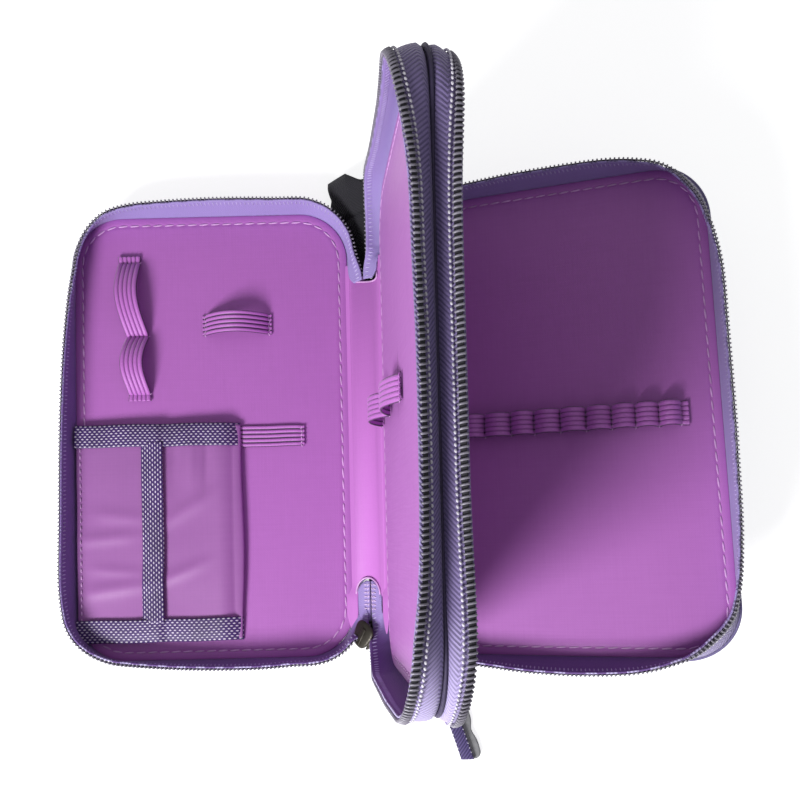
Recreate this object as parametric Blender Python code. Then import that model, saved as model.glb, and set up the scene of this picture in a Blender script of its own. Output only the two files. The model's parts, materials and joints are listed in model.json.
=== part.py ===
"""Two-compartment zippered pencil case, opened on a table.

Two padded covers and a stiff middle leaf (the divider) are joined by two
folding spine strips. Each compartment has its own zip. The case is modelled
open: the left cover lies flat, the divider stands up and the right cover
leans up from its spine edge.

Every leaf is modelled in its own frame: u runs away from its fold, y runs
along the fold, n points out of its lining into the compartment.
"""

import math

import bmesh
import bpy
from mathutils import Matrix, Vector

# Driving sizes of the leaves, in metres.
LEAF_LENGTH = 0.196
LEAF_WIDTH = 0.121
CORNER_RADIUS = 0.021
LINING_THICKNESS = 0.0008
COVER_DEPTH = 0.0070
SHELL_WALL = 0.0013
SHELL_FLOOR = 0.0012
SHELL_EDGE_RADIUS = 0.0015
DIVIDER_BOARD_THICKNESS = 0.0022
BINDING_HEIGHT = 0.0014
BINDING_WIDTH = 0.0030

# Clearances between pieces that touch or nearly touch.
GAP = 0.0003
RIM_GAP = 0.0015
SWING_GAP = 0.0006

# Zip tape walls and teeth.
TAPE_THICKNESS = 0.0009
TAPE_FLARE = 0.0025
TEETH_HEIGHT = 0.0026
TEETH_WIDTH = 0.0026
LEFT_COVER_WALL = 0.0105
RIGHT_COVER_WALL = 0.0117
DIVIDER_WALL = 0.0080

# Spine strips, their end notches and the zip ends sewn into them.
STRIP_END_SETBACK = 0.0230
NOTCH_DEPTH = 0.0100
NOTCH_HALF_WIDTH = 0.0058
SPINE_PANEL_THICKNESS = 0.0010
TAIL_HALF_WIDTH = 0.0055
TAIL_SLIT = 0.0014
TAIL_TEETH_WIDTH = 0.0026
TAIL_TEETH_HEIGHT = 0.0024
END_PATCH_LENGTH = 0.0080
WALL_RISE_LENGTH = 0.0042
STOP_SIZE = (0.0060, 0.0030, 0.0022)

# Slider, pull tab, ribbon and tag.
SLIDER_LENGTH = 0.0100
SLIDER_WIDTH = 0.0088
SLIDER_PLATE = 0.0011
SLIDER_FLANGE = 0.0007
SLIDER_INSET = 0.0140
POST_WIDTH = 0.0007
POST_LENGTH = 0.0020
BAIL_WIDTH = 0.0016
BAIL_LENGTH = 0.0060
BAIL_WALL = 0.0010
BAIL_WINDOW = 0.0024
TAB_THICKNESS = 0.0012
TAB_WIDTH = 0.0058
TAB_BAR = 0.0014
TAB_WINDOW = 0.0034
TAB_LENGTH = 0.0150
RIBBON_WIDTH = 0.0100
RIBBON_THICKNESS = 0.0014
RIBBON_START = 0.0070
RIBBON_LENGTH = 0.0500
RIBBON_BEND_START = 0.0160
TAG_WIDTH = 0.0075
TAG_THICKNESS = 0.0008
TAG_LENGTH = 0.0220
TAG_LAP = 0.0020
RIGHT_PULL_SIDE = 0.0200
RIGHT_PULL_LIFT = 0.0070

# Grab tab of folded webbing at the top end of the left spine.
STRAP_WIDTH = 0.0130
STRAP_THICKNESS = 0.0016
STRAP_CENTRE = 0.0115
STRAP_SEWN_LENGTH = 0.0110
STRAP_FLAT_LENGTH = 0.0105
STRAP_OVERHANG = 0.0150
STRAP_SIDE_SHIFT = 0.0040
STRAP_LIFT = 0.0115

# Way of the strap from its flat run to its tip: shares of length, sideways shift and lift.
STRAP_RISE_SHARES = ((0.25, 0.17, 0.25), (0.59, 0.50, 0.67), (0.82, 0.83, 1.0), (1.0, 1.0, 1.0))

# Elastic holders.
ELASTIC_WIDTH = 0.0095
ELASTIC_THICKNESS = 0.0009
ELASTIC_TAIL = 0.0040
DOUBLE_LOOP_INSET = 0.0240
DOUBLE_LOOP_Y = 0.0190
DOUBLE_LOOP_SPANS = (0.0270, 0.0330)
DOUBLE_LOOP_HEIGHTS = (0.0062, 0.0058)
RAISED_LOOP_U = 0.0350
RAISED_LOOP_Y = 0.0490
RAISED_LOOP_SPAN = 0.0310
RAISED_LOOP_HEIGHT = 0.0072
FLAT_ELASTIC_U = 0.0215
FLAT_ELASTIC_Y = -0.0007
FLAT_ELASTIC_LENGTH = 0.0270
DIVIDER_ELASTIC_U = 0.0060
DIVIDER_ELASTIC_Y = 0.0045
DIVIDER_LOOP_SPANS = (0.0290, 0.0330)
DIVIDER_LOOP_HEIGHTS = (0.0068, 0.0050)
PENCIL_ROW_U = 0.0147
PENCIL_ROW_Y = 0.0000
PENCIL_LOOP_PITCH = 0.0101
PENCIL_LOOP_COUNT = 9
PENCIL_LOOP_HEIGHT = 0.0036

# Two-pouch flap pocket on the left cover.
POCKET_SEAM_INSET = 0.0048
POCKET_SEAM_WIDTH = 0.0052
POCKET_REACH = 0.0620
POCKET_TOP_Y = 0.0048
POCKET_BOTTOM_INSET = 0.0087
POCKET_CLOTH = 0.0004
POCKET_PUFF = 0.0018
POUCH_REACH = 0.0260
RIBBON_BINDING = 0.0005
RIBBON_BINDING_WIDTH = 0.0100
CENTRE_BINDING_START = 0.0193
CENTRE_BINDING_WIDTH = 0.0105

# Angles of the open case, in degrees.
DIVIDER_LEAN = 7.5
RIGHT_PULL_TWIST = 30.0
STEEPEST_TILT = 60.0
SHARP_ANGLE = 40.0

# Shape of the elastic arches and of the pull's sideways bend.
ARCH_POWER = 0.75
BEND_POWER = 1.5

# Counts.
CORNER_STEPS = 8
ARCH_STEPS = 12
EDGE_STEPS = 3
NOTCH_STEPS = 8
RIBBON_STEPS = 8
TILT_ROUNDS = 60

# Sizes worked out from the driving sizes.
DIVIDER_THICKNESS = DIVIDER_BOARD_THICKNESS + 2 * (GAP + LINING_THICKNESS)
LEFT_STRIP_WIDTH = LEFT_COVER_WALL + RIM_GAP + DIVIDER_WALL
RIGHT_STRIP_WIDTH = RIGHT_COVER_WALL + RIM_GAP + DIVIDER_WALL
ZIP_LINE = DIVIDER_WALL + RIM_GAP / 2
HALF_LENGTH = LEAF_LENGTH / 2
STRIP_HALF_LENGTH = HALF_LENGTH - STRIP_END_SETBACK
NOTCH_BOTTOM = STRIP_HALF_LENGTH - NOTCH_DEPTH
WALL_START = STRIP_HALF_LENGTH + SWING_GAP
SLIDER_REST = HALF_LENGTH - SLIDER_INSET
SLIDER_END = SLIDER_REST + SLIDER_LENGTH / 2
TAIL_START = NOTCH_BOTTOM + GAP
TAIL_END = SLIDER_REST - POST_LENGTH + GAP
TOP_LOW_END = WALL_START + END_PATCH_LENGTH / 2
BAIL_DROP = LINING_THICKNESS + GAP + SLIDER_PLATE
HINGE_DROP = BAIL_DROP + BAIL_WINDOW / 2
POCKET_SEAM_U = LEAF_WIDTH - POCKET_SEAM_INSET
POCKET_HINGE_U = POCKET_SEAM_U - POCKET_SEAM_WIDTH
POCKET_STACK = 2 * RIBBON_BINDING + 3 * POCKET_CLOTH + 5 * GAP
POCKET_BOTTOM_Y = POCKET_BOTTOM_INSET - HALF_LENGTH
DOUBLE_LOOP_U = LEAF_WIDTH - DOUBLE_LOOP_INSET


class Finish:
    """Colour, roughness and metallic value of one material."""

    def __init__(self, name, colour, roughness, metallic=0.0):
        self.name = name
        self.colour = colour
        self.roughness = roughness
        self.metallic = metallic

    def material(self):
        """Return the material, made on first use."""
        found = bpy.data.materials.get(self.name)
        if found:
            return found
        made = bpy.data.materials.new(self.name)
        made.use_nodes = True
        shader = made.node_tree.nodes["Principled BSDF"]
        shader.inputs["Base Color"].default_value = (*self.colour, 1.0)
        shader.inputs["Roughness"].default_value = self.roughness
        shader.inputs["Metallic"].default_value = self.metallic
        made.diffuse_color = (*self.colour, 1.0)
        return made


LINING_CLOTH = Finish("lining_cloth", (0.46, 0.13, 0.52), 0.55)
TAPE_CLOTH = Finish("zip_tape", (0.25, 0.20, 0.42), 0.75)
SHELL_CLOTH = Finish("shell_cloth", (0.16, 0.13, 0.26), 0.70)
BOARD = Finish("stiffener_board", (0.45, 0.42, 0.38), 0.90)
TEETH = Finish("zip_teeth", (0.06, 0.06, 0.08), 0.35)
METAL = Finish("slider_metal", (0.10, 0.09, 0.07), 0.35, 0.9)
ELASTIC = Finish("elastic", (0.42, 0.12, 0.48), 0.65)
RIBBON = Finish("ribbon", (0.10, 0.04, 0.22), 0.70)
POCKET_NYLON = Finish("pocket_nylon", (0.38, 0.13, 0.44), 0.35)
TAG_GREY = Finish("tag_rubber", (0.33, 0.33, 0.35), 0.45)
STRAP_WEB = Finish("strap_webbing", (0.02, 0.018, 0.035), 0.80)


# Frames of the bodies.


def frame(name, parent, location, turn=0.0):
    """Make an empty that carries a body, turned about the fold axis."""
    empty = bpy.data.objects.new(name, None)
    empty.empty_display_size = COVER_DEPTH
    empty.location = location
    empty.rotation_euler = (0.0, turn, 0.0)
    empty.parent = parent
    bpy.context.scene.collection.objects.link(empty)
    return empty


# Mesh building.


def loft(mesh, rings, mirror=False):
    """Skin equal rings of points in order and cap both ends."""
    sign = -1.0 if mirror else 1.0
    loops = [[mesh.verts.new((sign * p[0], p[1], p[2])) for p in ring] for ring in rings]
    for low, high in zip(loops, loops[1:]):
        for i, vert in enumerate(low):
            j = (i + 1) % len(low)
            mesh.faces.new((vert, low[j], high[j], high[i]))
    mesh.faces.new(loops[0][::-1])
    mesh.faces.new(loops[-1])


def add_box(mesh, low, high, mirror=False):
    """Add one closed box between two corners."""
    ring = [(low[0], low[1]), (high[0], low[1]), (high[0], high[1]), (low[0], high[1])]
    loft(mesh, [[(x, y, z) for x, y in ring] for z in (low[2], high[2])], mirror)


def finish(name, mesh, look, parent):
    """Turn a bmesh into the named, closed object under its frame."""
    bmesh.ops.recalc_face_normals(mesh, faces=mesh.faces)
    data = bpy.data.meshes.new(name)
    mesh.to_mesh(data)
    mesh.free()
    data.shade_smooth()
    data.set_sharp_from_angle(angle=math.radians(SHARP_ANGLE))
    data.materials.append(look.material())
    piece = bpy.data.objects.new(name, data)
    piece.parent = parent
    bpy.context.scene.collection.objects.link(piece)
    return piece


def boolean(piece, other, operation):
    """Join or cut a piece by a hidden helper solid."""
    other.hide_render = True
    other.display_type = "WIRE"
    change = piece.modifiers.new(operation.lower(), "BOOLEAN")
    change.operation = operation
    change.solver = "EXACT"
    change.object = other
    change.use_self = operation == "UNION"


# Outlines in the (u, y) plane.


def rounded_outline(u_spine, u_free, half_length, radius):
    """Closed outline with four round corners, from the spine side round."""
    points = []
    corners = (
        (u_free - radius, half_length - radius, 0),
        (u_spine + radius, half_length - radius, 1),
        (u_spine + radius, radius - half_length, 2),
        (u_free - radius, radius - half_length, 3),
    )
    for centre_u, centre_y, quarter in corners:
        for step in range(CORNER_STEPS + 1):
            angle = math.pi / 2 * (quarter + step / CORNER_STEPS)
            points.append((centre_u + radius * math.cos(angle), centre_y + radius * math.sin(angle)))
    return points


def rim_stations(start_low, start_high):
    """Stations (point, outward direction) round three sides of a leaf.

    The path starts on the spine side at y = -start_low, goes round the lower
    end, the free edge and the upper end, and stops at y = start_high.
    """
    centre_y = HALF_LENGTH - CORNER_RADIUS
    corners = (
        (CORNER_RADIUS, -centre_y, 2),
        (LEAF_WIDTH - CORNER_RADIUS, -centre_y, 3),
        (LEAF_WIDTH - CORNER_RADIUS, centre_y, 4),
        (CORNER_RADIUS, centre_y, 5),
    )
    stations = []
    if start_low < centre_y:
        stations.append(((0.0, -start_low), (-1.0, 0.0)))
    for centre_u, corner_y, quarter in corners:
        for step in range(CORNER_STEPS + 1):
            angle = math.pi / 2 * (quarter + step / CORNER_STEPS)
            out = (math.cos(angle), math.sin(angle))
            point = (centre_u + CORNER_RADIUS * out[0], corner_y + CORNER_RADIUS * out[1])
            stations.append((point, out))
    if start_high < centre_y:
        stations.append(((0.0, start_high), (-1.0, 0.0)))
    first = -start_low
    kept = [s for s in stations if s[0][0] > CORNER_RADIUS or first >= s[0][1] or s[0][1] >= start_high]
    if start_low > centre_y:
        kept.insert(0, corner_station(-start_low))
    if start_high > centre_y:
        kept.append(corner_station(start_high))
    return kept


def corner_station(y):
    """Station on a spine-side corner arc at the height y."""
    centre_y = HALF_LENGTH - CORNER_RADIUS
    rise = (abs(y) - centre_y) / CORNER_RADIUS
    out = (-math.sqrt(1.0 - rise * rise), math.copysign(rise, y))
    point = (CORNER_RADIUS + CORNER_RADIUS * out[0], math.copysign(centre_y, y) + CORNER_RADIUS * out[1])
    return point, out


def low_wall(wall):
    """Height to which a tape wall is drawn down to clear the closed zip end."""
    return wall + RIM_GAP / 2 - TAIL_HALF_WIDTH - 2 * SWING_GAP


def wall_height(point, low, full):
    """Height of a tape wall, drawn down beside the zip ends on the spine side."""
    u, y = point
    if u > CORNER_RADIUS:
        return full
    low_end = SLIDER_END + SWING_GAP if y < 0 else TOP_LOW_END
    rise_end = low_end + WALL_RISE_LENGTH
    share = (abs(y) - low_end) / (rise_end - low_end)
    return low + (full - low) * min(1.0, max(0.0, share))


def wall_stations():
    """Rim stations with one more at the foot and top of each drawn-down end."""
    stations = rim_stations(WALL_START, WALL_START)
    extra = []
    for y, end in ((-1.0, SLIDER_END + SWING_GAP), (1.0, TOP_LOW_END)):
        for at in (end, end + WALL_RISE_LENGTH):
            if at > HALF_LENGTH - CORNER_RADIUS:
                extra.append(corner_station(y * at))
            else:
                extra.append(((0.0, y * at), (-1.0, 0.0)))
    for station in extra:
        index = insert_index(stations, station)
        stations.insert(index, station)
    return stations


def insert_index(stations, station):
    """Place in a rim path where a spine-side station belongs."""
    y = station[0][1]
    if y < 0:
        return sum(1 for s in stations if s[0][0] <= CORNER_RADIUS and y < s[0][1] < 0)
    after = sum(1 for s in stations if s[0][0] <= CORNER_RADIUS and 0 < s[0][1] < y)
    return len(stations) - after


def rim_ring(mesh, stations, low_n, high_n, inner, thickness, flare, depth, place):
    """Sweep a leaning band along rim stations.

    low_n and high_n are functions of the station's point. place turns
    (u, y, n) into the frame's own coordinates.
    """
    rings = []
    for point, out in stations:
        levels = [low_n(point), high_n(point)]
        if levels[0] < 0.0:
            levels.insert(1, 0.0)
        ring = []
        for n, side in [(n, 0) for n in reversed(levels)] + [(n, 1) for n in levels]:
            offset = inner + side * thickness + flare * max(0.0, n) / depth
            ring.append(place(point[0] + offset * out[0], point[1] + offset * out[1], n))
        rings.append(ring)
    loft(mesh, rings)


# Ways to lay leaf coordinates into a body's frame.


def cover_place(side):
    """Leaf coordinates of a cover: u runs out along side times X."""
    return lambda u, y, n: (side * u, y, n)


def divider_place(side):
    """Leaf coordinates of one face of the divider: u runs up."""
    return lambda u, y, n: (side * (DIVIDER_THICKNESS / 2 + n), y, u)


def plate(name, outline, low, high, place, look, parent):
    """Flat plate between two levels of n."""
    mesh = bmesh.new()
    loft(mesh, [[place(u, y, n) for u, y in outline] for n in (low, high)])
    return finish(name, mesh, look, parent)


# Covers.


def cover_shell(name, place, parent):
    """Outer shell: a shallow tray with a rounded lower edge."""
    margin = TAPE_THICKNESS + GAP
    u_free = LEAF_WIDTH + margin
    half = HALF_LENGTH + margin
    radius = CORNER_RADIUS + margin
    rings = []
    for step in range(EDGE_STEPS + 1):
        angle = math.pi / 2 * step / EDGE_STEPS
        inset = SHELL_EDGE_RADIUS * (1.0 - math.sin(angle))
        level = -COVER_DEPTH + SHELL_EDGE_RADIUS * (1.0 - math.cos(angle))
        outline = rounded_outline(GAP + inset, u_free - inset, half - inset, radius - inset)
        rings.append([place(u, y, level) for u, y in outline])
    outline = rounded_outline(GAP, u_free, half, radius)
    top = -LINING_THICKNESS - GAP
    rings.append([place(u, y, top) for u, y in outline])
    inner = rounded_outline(GAP + SHELL_WALL, u_free - SHELL_WALL, half - SHELL_WALL, radius - SHELL_WALL)
    for level in (top, -COVER_DEPTH + SHELL_FLOOR):
        rings.append([place(u, y, level) for u, y in inner])
    mesh = bmesh.new()
    loft(mesh, rings)
    return finish(name, mesh, SHELL_CLOTH, parent)


def cover_core(name, place, parent):
    """Padded stiffener that fills the shell under the lining."""
    inset = SHELL_WALL + 2 * GAP
    margin = TAPE_THICKNESS + GAP
    outline = rounded_outline(
        GAP + inset, LEAF_WIDTH + margin - inset, HALF_LENGTH + margin - inset, CORNER_RADIUS + margin - inset
    )
    low = -COVER_DEPTH + SHELL_FLOOR + GAP
    return plate(name, outline, low, -LINING_THICKNESS - GAP, place, BOARD, parent)


def lining(name, place, parent):
    """Cloth-covered inner panel of a leaf."""
    outline = rounded_outline(2 * GAP, LEAF_WIDTH - GAP, HALF_LENGTH - GAP, CORNER_RADIUS - GAP)
    return plate(name, outline, -LINING_THICKNESS, 0.0, place, LINING_CLOTH, parent)


def tape_wall(name, base, inner, full, place, parent):
    """Zip tape standing round a tray, lower beside the zip ends."""
    top = TEETH_HEIGHT + GAP
    low = low_wall(full)
    mesh = bmesh.new()
    rim_ring(
        mesh,
        wall_stations(),
        lambda point: base,
        lambda point: max(low, wall_height(point, low, full - top)),
        inner,
        TAPE_THICKNESS,
        TAPE_FLARE,
        full,
        place,
    )
    return finish(name, mesh, TAPE_CLOTH, parent)


def teeth_rim(name, inner, full, place, parent):
    """Row of zip teeth along the top edge of a tape wall."""
    start_low = SLIDER_END + SWING_GAP + WALL_RISE_LENGTH
    start_high = TOP_LOW_END + WALL_RISE_LENGTH
    centre = inner + (TAPE_THICKNESS - TEETH_WIDTH) / 2
    mesh = bmesh.new()
    rim_ring(
        mesh,
        rim_stations(start_low, start_high),
        lambda point: full - TEETH_HEIGHT,
        lambda point: full,
        centre,
        TEETH_WIDTH,
        TAPE_FLARE,
        full,
        place,
    )
    return finish(name, mesh, TEETH, parent)


def cover(side_name, side, wall, parent):
    """All sewn pieces of one cover."""
    place = cover_place(side)
    cover_shell(f"{side_name}_cover_shell", place, parent)
    cover_core(f"{side_name}_cover_padding", place, parent)
    lining(f"{side_name}_cover_lining", place, parent)
    tape_wall(f"{side_name}_cover_zip_tape", -LINING_THICKNESS, 0.0, wall, place, parent)
    teeth_rim(f"{side_name}_cover_zip_teeth", 0.0, wall, place, parent)


# Divider.


def divider(parent):
    """Middle leaf: board, two linings, two tape walls with teeth and an edge binding."""
    half_board = DIVIDER_BOARD_THICKNESS / 2
    margin = GAP - TAPE_THICKNESS / 2
    outline = rounded_outline(2 * GAP, LEAF_WIDTH - margin, HALF_LENGTH - margin, CORNER_RADIUS - margin)
    mesh = bmesh.new()
    loft(mesh, [[(x, y, u) for u, y in outline] for x in (-half_board, half_board)])
    finish("divider_board", mesh, BOARD, parent)
    inner = 2 * GAP
    for side_name, side in (("left", -1.0), ("right", 1.0)):
        place = divider_place(side)
        lining(f"divider_{side_name}_lining", place, parent)
        base = GAP - DIVIDER_THICKNESS / 2
        tape_wall(f"divider_{side_name}_zip_tape", base, inner, DIVIDER_WALL, place, parent)
        teeth_rim(f"divider_{side_name}_zip_teeth", inner, DIVIDER_WALL, place, parent)
    mesh = bmesh.new()
    rings = []
    low = inner + TAPE_THICKNESS + GAP
    for point, out in rim_stations(WALL_START, WALL_START):
        ring = []
        for x, offset in ((-1, low), (1, low), (1, low + BINDING_HEIGHT), (-1, low + BINDING_HEIGHT)):
            spot = (x * BINDING_WIDTH / 2, point[1] + offset * out[1], point[0] + offset * out[0])
            ring.append(spot)
        rings.append(ring)
    loft(mesh, rings)
    finish("divider_edge_binding", mesh, SHELL_CLOTH, parent)


# Spine strips and the zip ends sewn into them.


def strip_outline(width):
    """Strip with a U notch cut into each end; b runs from the divider to the cover."""
    points = []
    for end in (1.0, -1.0):
        corner = [(SWING_GAP, STRIP_HALF_LENGTH)]
        for step in range(NOTCH_STEPS + 1):
            angle = math.pi * (1.0 - step / NOTCH_STEPS)
            across = ZIP_LINE + NOTCH_HALF_WIDTH * math.cos(angle)
            along = NOTCH_BOTTOM + NOTCH_HALF_WIDTH * (1.0 - math.sin(angle))
            corner.append((across, along))
        corner.insert(1, (ZIP_LINE - NOTCH_HALF_WIDTH, STRIP_HALF_LENGTH))
        corner.append((ZIP_LINE + NOTCH_HALF_WIDTH, STRIP_HALF_LENGTH))
        corner.append((width - SWING_GAP, STRIP_HALF_LENGTH))
        if end < 0:
            corner.reverse()
        points += [(across, end * along) for across, along in corner]
    return points


def tail_half(name, side, across, parent):
    """Half of the closed zip end: a tape tongue and its row of teeth."""
    place = cover_place(side)
    near = TAIL_SLIT / 2
    edge = TAIL_HALF_WIDTH
    round_start = TAIL_START + NOTCH_HALF_WIDTH
    outline = [(ZIP_LINE + across * near, -TAIL_END), (ZIP_LINE + across * edge, -TAIL_END)]
    for step in range(NOTCH_STEPS // 2 + 1):
        angle = math.pi / 2 * step / (NOTCH_STEPS // 2)
        reach = max(near, edge * math.cos(angle))
        outline.append((ZIP_LINE + across * reach, -(round_start - edge * math.sin(angle))))
    plate(f"{name}_tape", outline, -LINING_THICKNESS, 0.0, place, TAPE_CLOTH, parent)
    mesh = bmesh.new()
    teeth = sorted((ZIP_LINE + across * near, ZIP_LINE + across * (near + TAIL_TEETH_WIDTH)))
    last = -(TAIL_START + TAIL_TEETH_WIDTH / 2)
    add_box(mesh, (teeth[0], -TAIL_END, GAP), (teeth[1], last, GAP + TAIL_TEETH_HEIGHT), side < 0)
    finish(f"{name}_teeth", mesh, TEETH, parent)


def spine(side_name, side, width, parent):
    """Strip lining, outer panel and the two zip ends of one compartment."""
    place = cover_place(side)
    outline = strip_outline(width)
    plate(f"{side_name}_spine_lining", outline, -LINING_THICKNESS, 0.0, place, LINING_CLOTH, parent)
    top = -LINING_THICKNESS - GAP
    plate(f"{side_name}_spine_panel", outline, top - SPINE_PANEL_THICKNESS, top, place, SHELL_CLOTH, parent)
    tail_half(f"{side_name}_zip_end_divider_side", side, -1.0, parent)
    tail_half(f"{side_name}_zip_end_cover_side", side, 1.0, parent)
    tongue = []
    for step in range(NOTCH_STEPS + 1):
        angle = math.pi * step / NOTCH_STEPS
        across = ZIP_LINE + TAIL_HALF_WIDTH * math.cos(angle)
        along = TAIL_START + NOTCH_HALF_WIDTH - TAIL_HALF_WIDTH * math.sin(angle)
        tongue.append((across, along))
    tongue.append((ZIP_LINE - TAIL_HALF_WIDTH, TAIL_START + END_PATCH_LENGTH))
    tongue.append((ZIP_LINE + TAIL_HALF_WIDTH, TAIL_START + END_PATCH_LENGTH))
    plate(f"{side_name}_zip_top_tape", tongue, -LINING_THICKNESS, 0.0, place, TAPE_CLOTH, parent)
    across, along, height = STOP_SIZE
    first = TAIL_START + END_PATCH_LENGTH / 2
    mesh = bmesh.new()
    low = (ZIP_LINE - across / 2, first - along / 2, GAP)
    high = (ZIP_LINE + across / 2, first + along / 2, GAP + height)
    add_box(mesh, low, high, side < 0)
    finish(f"{side_name}_zip_stop", mesh, METAL, parent)


def grab_tab(side, parent):
    """Tab of folded webbing, sewn under the panel and sticking out past the top end."""
    under = -LINING_THICKNESS - SPINE_PANEL_THICKNESS - 2 * GAP
    clear = under - TAPE_FLARE
    sewn_start = NOTCH_BOTTOM - STRAP_SEWN_LENGTH
    lift_start = STRIP_HALF_LENGTH + STRAP_FLAT_LENGTH
    free_length = HALF_LENGTH + STRAP_OVERHANG - lift_start
    route = [(sewn_start, 0.0, under), (NOTCH_BOTTOM, 0.0, under)]
    route += [(WALL_START, 0.0, clear), (lift_start, 0.0, clear)]
    for along, aside, rise in STRAP_RISE_SHARES:
        route.append((lift_start + free_length * along, STRAP_SIDE_SHIFT * aside, clear + STRAP_LIFT * rise))
    rings = []
    for y, shift, top in route:
        low = STRAP_CENTRE + shift - STRAP_WIDTH / 2
        high = low + STRAP_WIDTH
        bottom = top - STRAP_THICKNESS
        rings.append([(low, y, bottom), (high, y, bottom), (high, y, top), (low, y, top)])
    mesh = bmesh.new()
    loft(mesh, rings, side < 0)
    finish("grab_tab", mesh, STRAP_WEB, parent)


# Elastic holders.


def arch_line(tail, spans, heights):
    """Side view of an elastic: points (distance, height), flat where it is sewn."""
    line = [(-tail, 0.0), (-ELASTIC_THICKNESS / 2, 0.0)]
    start = 0.0
    for span, height in zip(spans, heights):
        sewn = ELASTIC_THICKNESS / 2
        for step in range(ARCH_STEPS + 1):
            share = step / ARCH_STEPS
            lift = height * math.sin(math.pi * share) ** ARCH_POWER
            line.append((start + sewn + (span - 2 * sewn) * share, lift))
        start += span
    line += [(start + ELASTIC_THICKNESS / 2, 0.0), (start + tail, 0.0)]
    return line


def elastic(name, line, spot, along_u, place, parent):
    """Elastic band bent along a side view, lying on a lining.

    spot is the (u, y) point where the first arch starts, and along_u says
    whether the band runs along u or along y.
    """
    half = ELASTIC_WIDTH / 2
    rings = []
    for i, (distance, lift) in enumerate(line):
        before = line[max(i - 1, 0)]
        after = line[min(i + 1, len(line) - 1)]
        slope = Vector((after[0] - before[0], after[1] - before[1])).normalized()
        normal = Vector((-slope.y, slope.x)) * ELASTIC_THICKNESS
        low = (distance, lift + GAP)
        high = (distance + normal.x, lift + GAP + normal.y)
        ring = []
        for across, (run, n) in ((-half, low), (half, low), (half, high), (-half, high)):
            if along_u:
                ring.append(place(spot[0] + run, spot[1] + across, n))
            else:
                ring.append(place(spot[0] + across, spot[1] + run, n))
        rings.append(ring)
    mesh = bmesh.new()
    loft(mesh, rings)
    return finish(name, mesh, ELASTIC, parent)


def elastics(left_cover, right_cover, middle):
    """All elastic holders of the case."""
    place = cover_place(-1.0)
    line = arch_line(ELASTIC_TAIL, DOUBLE_LOOP_SPANS, DOUBLE_LOOP_HEIGHTS)
    elastic("left_cover_double_loop", line, (DOUBLE_LOOP_U, DOUBLE_LOOP_Y), False, place, left_cover)
    line = arch_line(ELASTIC_TAIL, (RAISED_LOOP_SPAN,), (RAISED_LOOP_HEIGHT,))
    elastic("left_cover_raised_loop", line, (RAISED_LOOP_U, RAISED_LOOP_Y), True, place, left_cover)
    line = [(0.0, 0.0), (FLAT_ELASTIC_LENGTH, 0.0)]
    elastic("left_cover_flat_elastic", line, (FLAT_ELASTIC_U, FLAT_ELASTIC_Y), True, place, left_cover)
    line = arch_line(ELASTIC_TAIL, DIVIDER_LOOP_SPANS, DIVIDER_LOOP_HEIGHTS)
    spot = (DIVIDER_ELASTIC_U, DIVIDER_ELASTIC_Y)
    elastic("divider_loop_strip", line, spot, True, divider_place(-1.0), middle)
    spans = (PENCIL_LOOP_PITCH,) * PENCIL_LOOP_COUNT
    line = arch_line(ELASTIC_TAIL, spans, (PENCIL_LOOP_HEIGHT,) * PENCIL_LOOP_COUNT)
    spot = (PENCIL_ROW_U, PENCIL_ROW_Y)
    elastic("right_cover_pencil_loops", line, spot, True, cover_place(1.0), right_cover)


# Flap pocket. It folds at the top of the seam that holds its layers, and in
# its frame v runs from that fold to the free edge.


def pocket_lift(v):
    """Rise of the front layers above the back layer at distance v from the fold."""
    return POCKET_PUFF * v / POCKET_REACH


def sloped_panel(name, v_low, v_high, y_low, y_high, base, thickness, lifted, look, parent):
    """Cloth panel that may rise toward the free edge, at a level above the lining."""
    rings = []
    for v in (v_low, v_high):
        low = base - POCKET_STACK + (pocket_lift(v) if lifted else 0.0)
        high = low + thickness
        rings.append([(v, y_low, low), (v, y_high, low), (v, y_high, high), (v, y_low, high)])
    mesh = bmesh.new()
    loft(mesh, rings)
    finish(name, mesh, look, parent)


def edge_binding(name, y_edge, inward, v_high, levels, parent):
    """Ribbon folded over the top or bottom edge of the pocket: a U section."""
    back, front = levels
    y_fold = y_edge + inward * RIBBON_BINDING
    y_end = y_edge + inward * RIBBON_BINDING_WIDTH
    rings = []
    for v in (RIBBON_BINDING, v_high):
        high = front + pocket_lift(v)
        section = [
            (y_edge, back),
            (y_end, back),
            (y_end, back + RIBBON_BINDING),
            (y_fold, back + RIBBON_BINDING),
            (y_fold, high),
            (y_end, high),
            (y_end, high + RIBBON_BINDING),
            (y_edge, high + RIBBON_BINDING),
        ]
        rings.append([(v, y, n - POCKET_STACK) for y, n in section])
    mesh = bmesh.new()
    loft(mesh, rings)
    finish(name, mesh, RIBBON, parent)


def pocket_seam(parent):
    """Sewn edge of the pocket's layers, fixed to the cover beside the zip tape."""
    outline = [
        (POCKET_HINGE_U + GAP, POCKET_BOTTOM_Y),
        (POCKET_SEAM_U, POCKET_BOTTOM_Y),
        (POCKET_SEAM_U, POCKET_TOP_Y),
        (POCKET_HINGE_U + GAP, POCKET_TOP_Y),
    ]
    plate("pocket_sewn_edge", outline, GAP, POCKET_STACK, cover_place(-1.0), POCKET_NYLON, parent)


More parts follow.
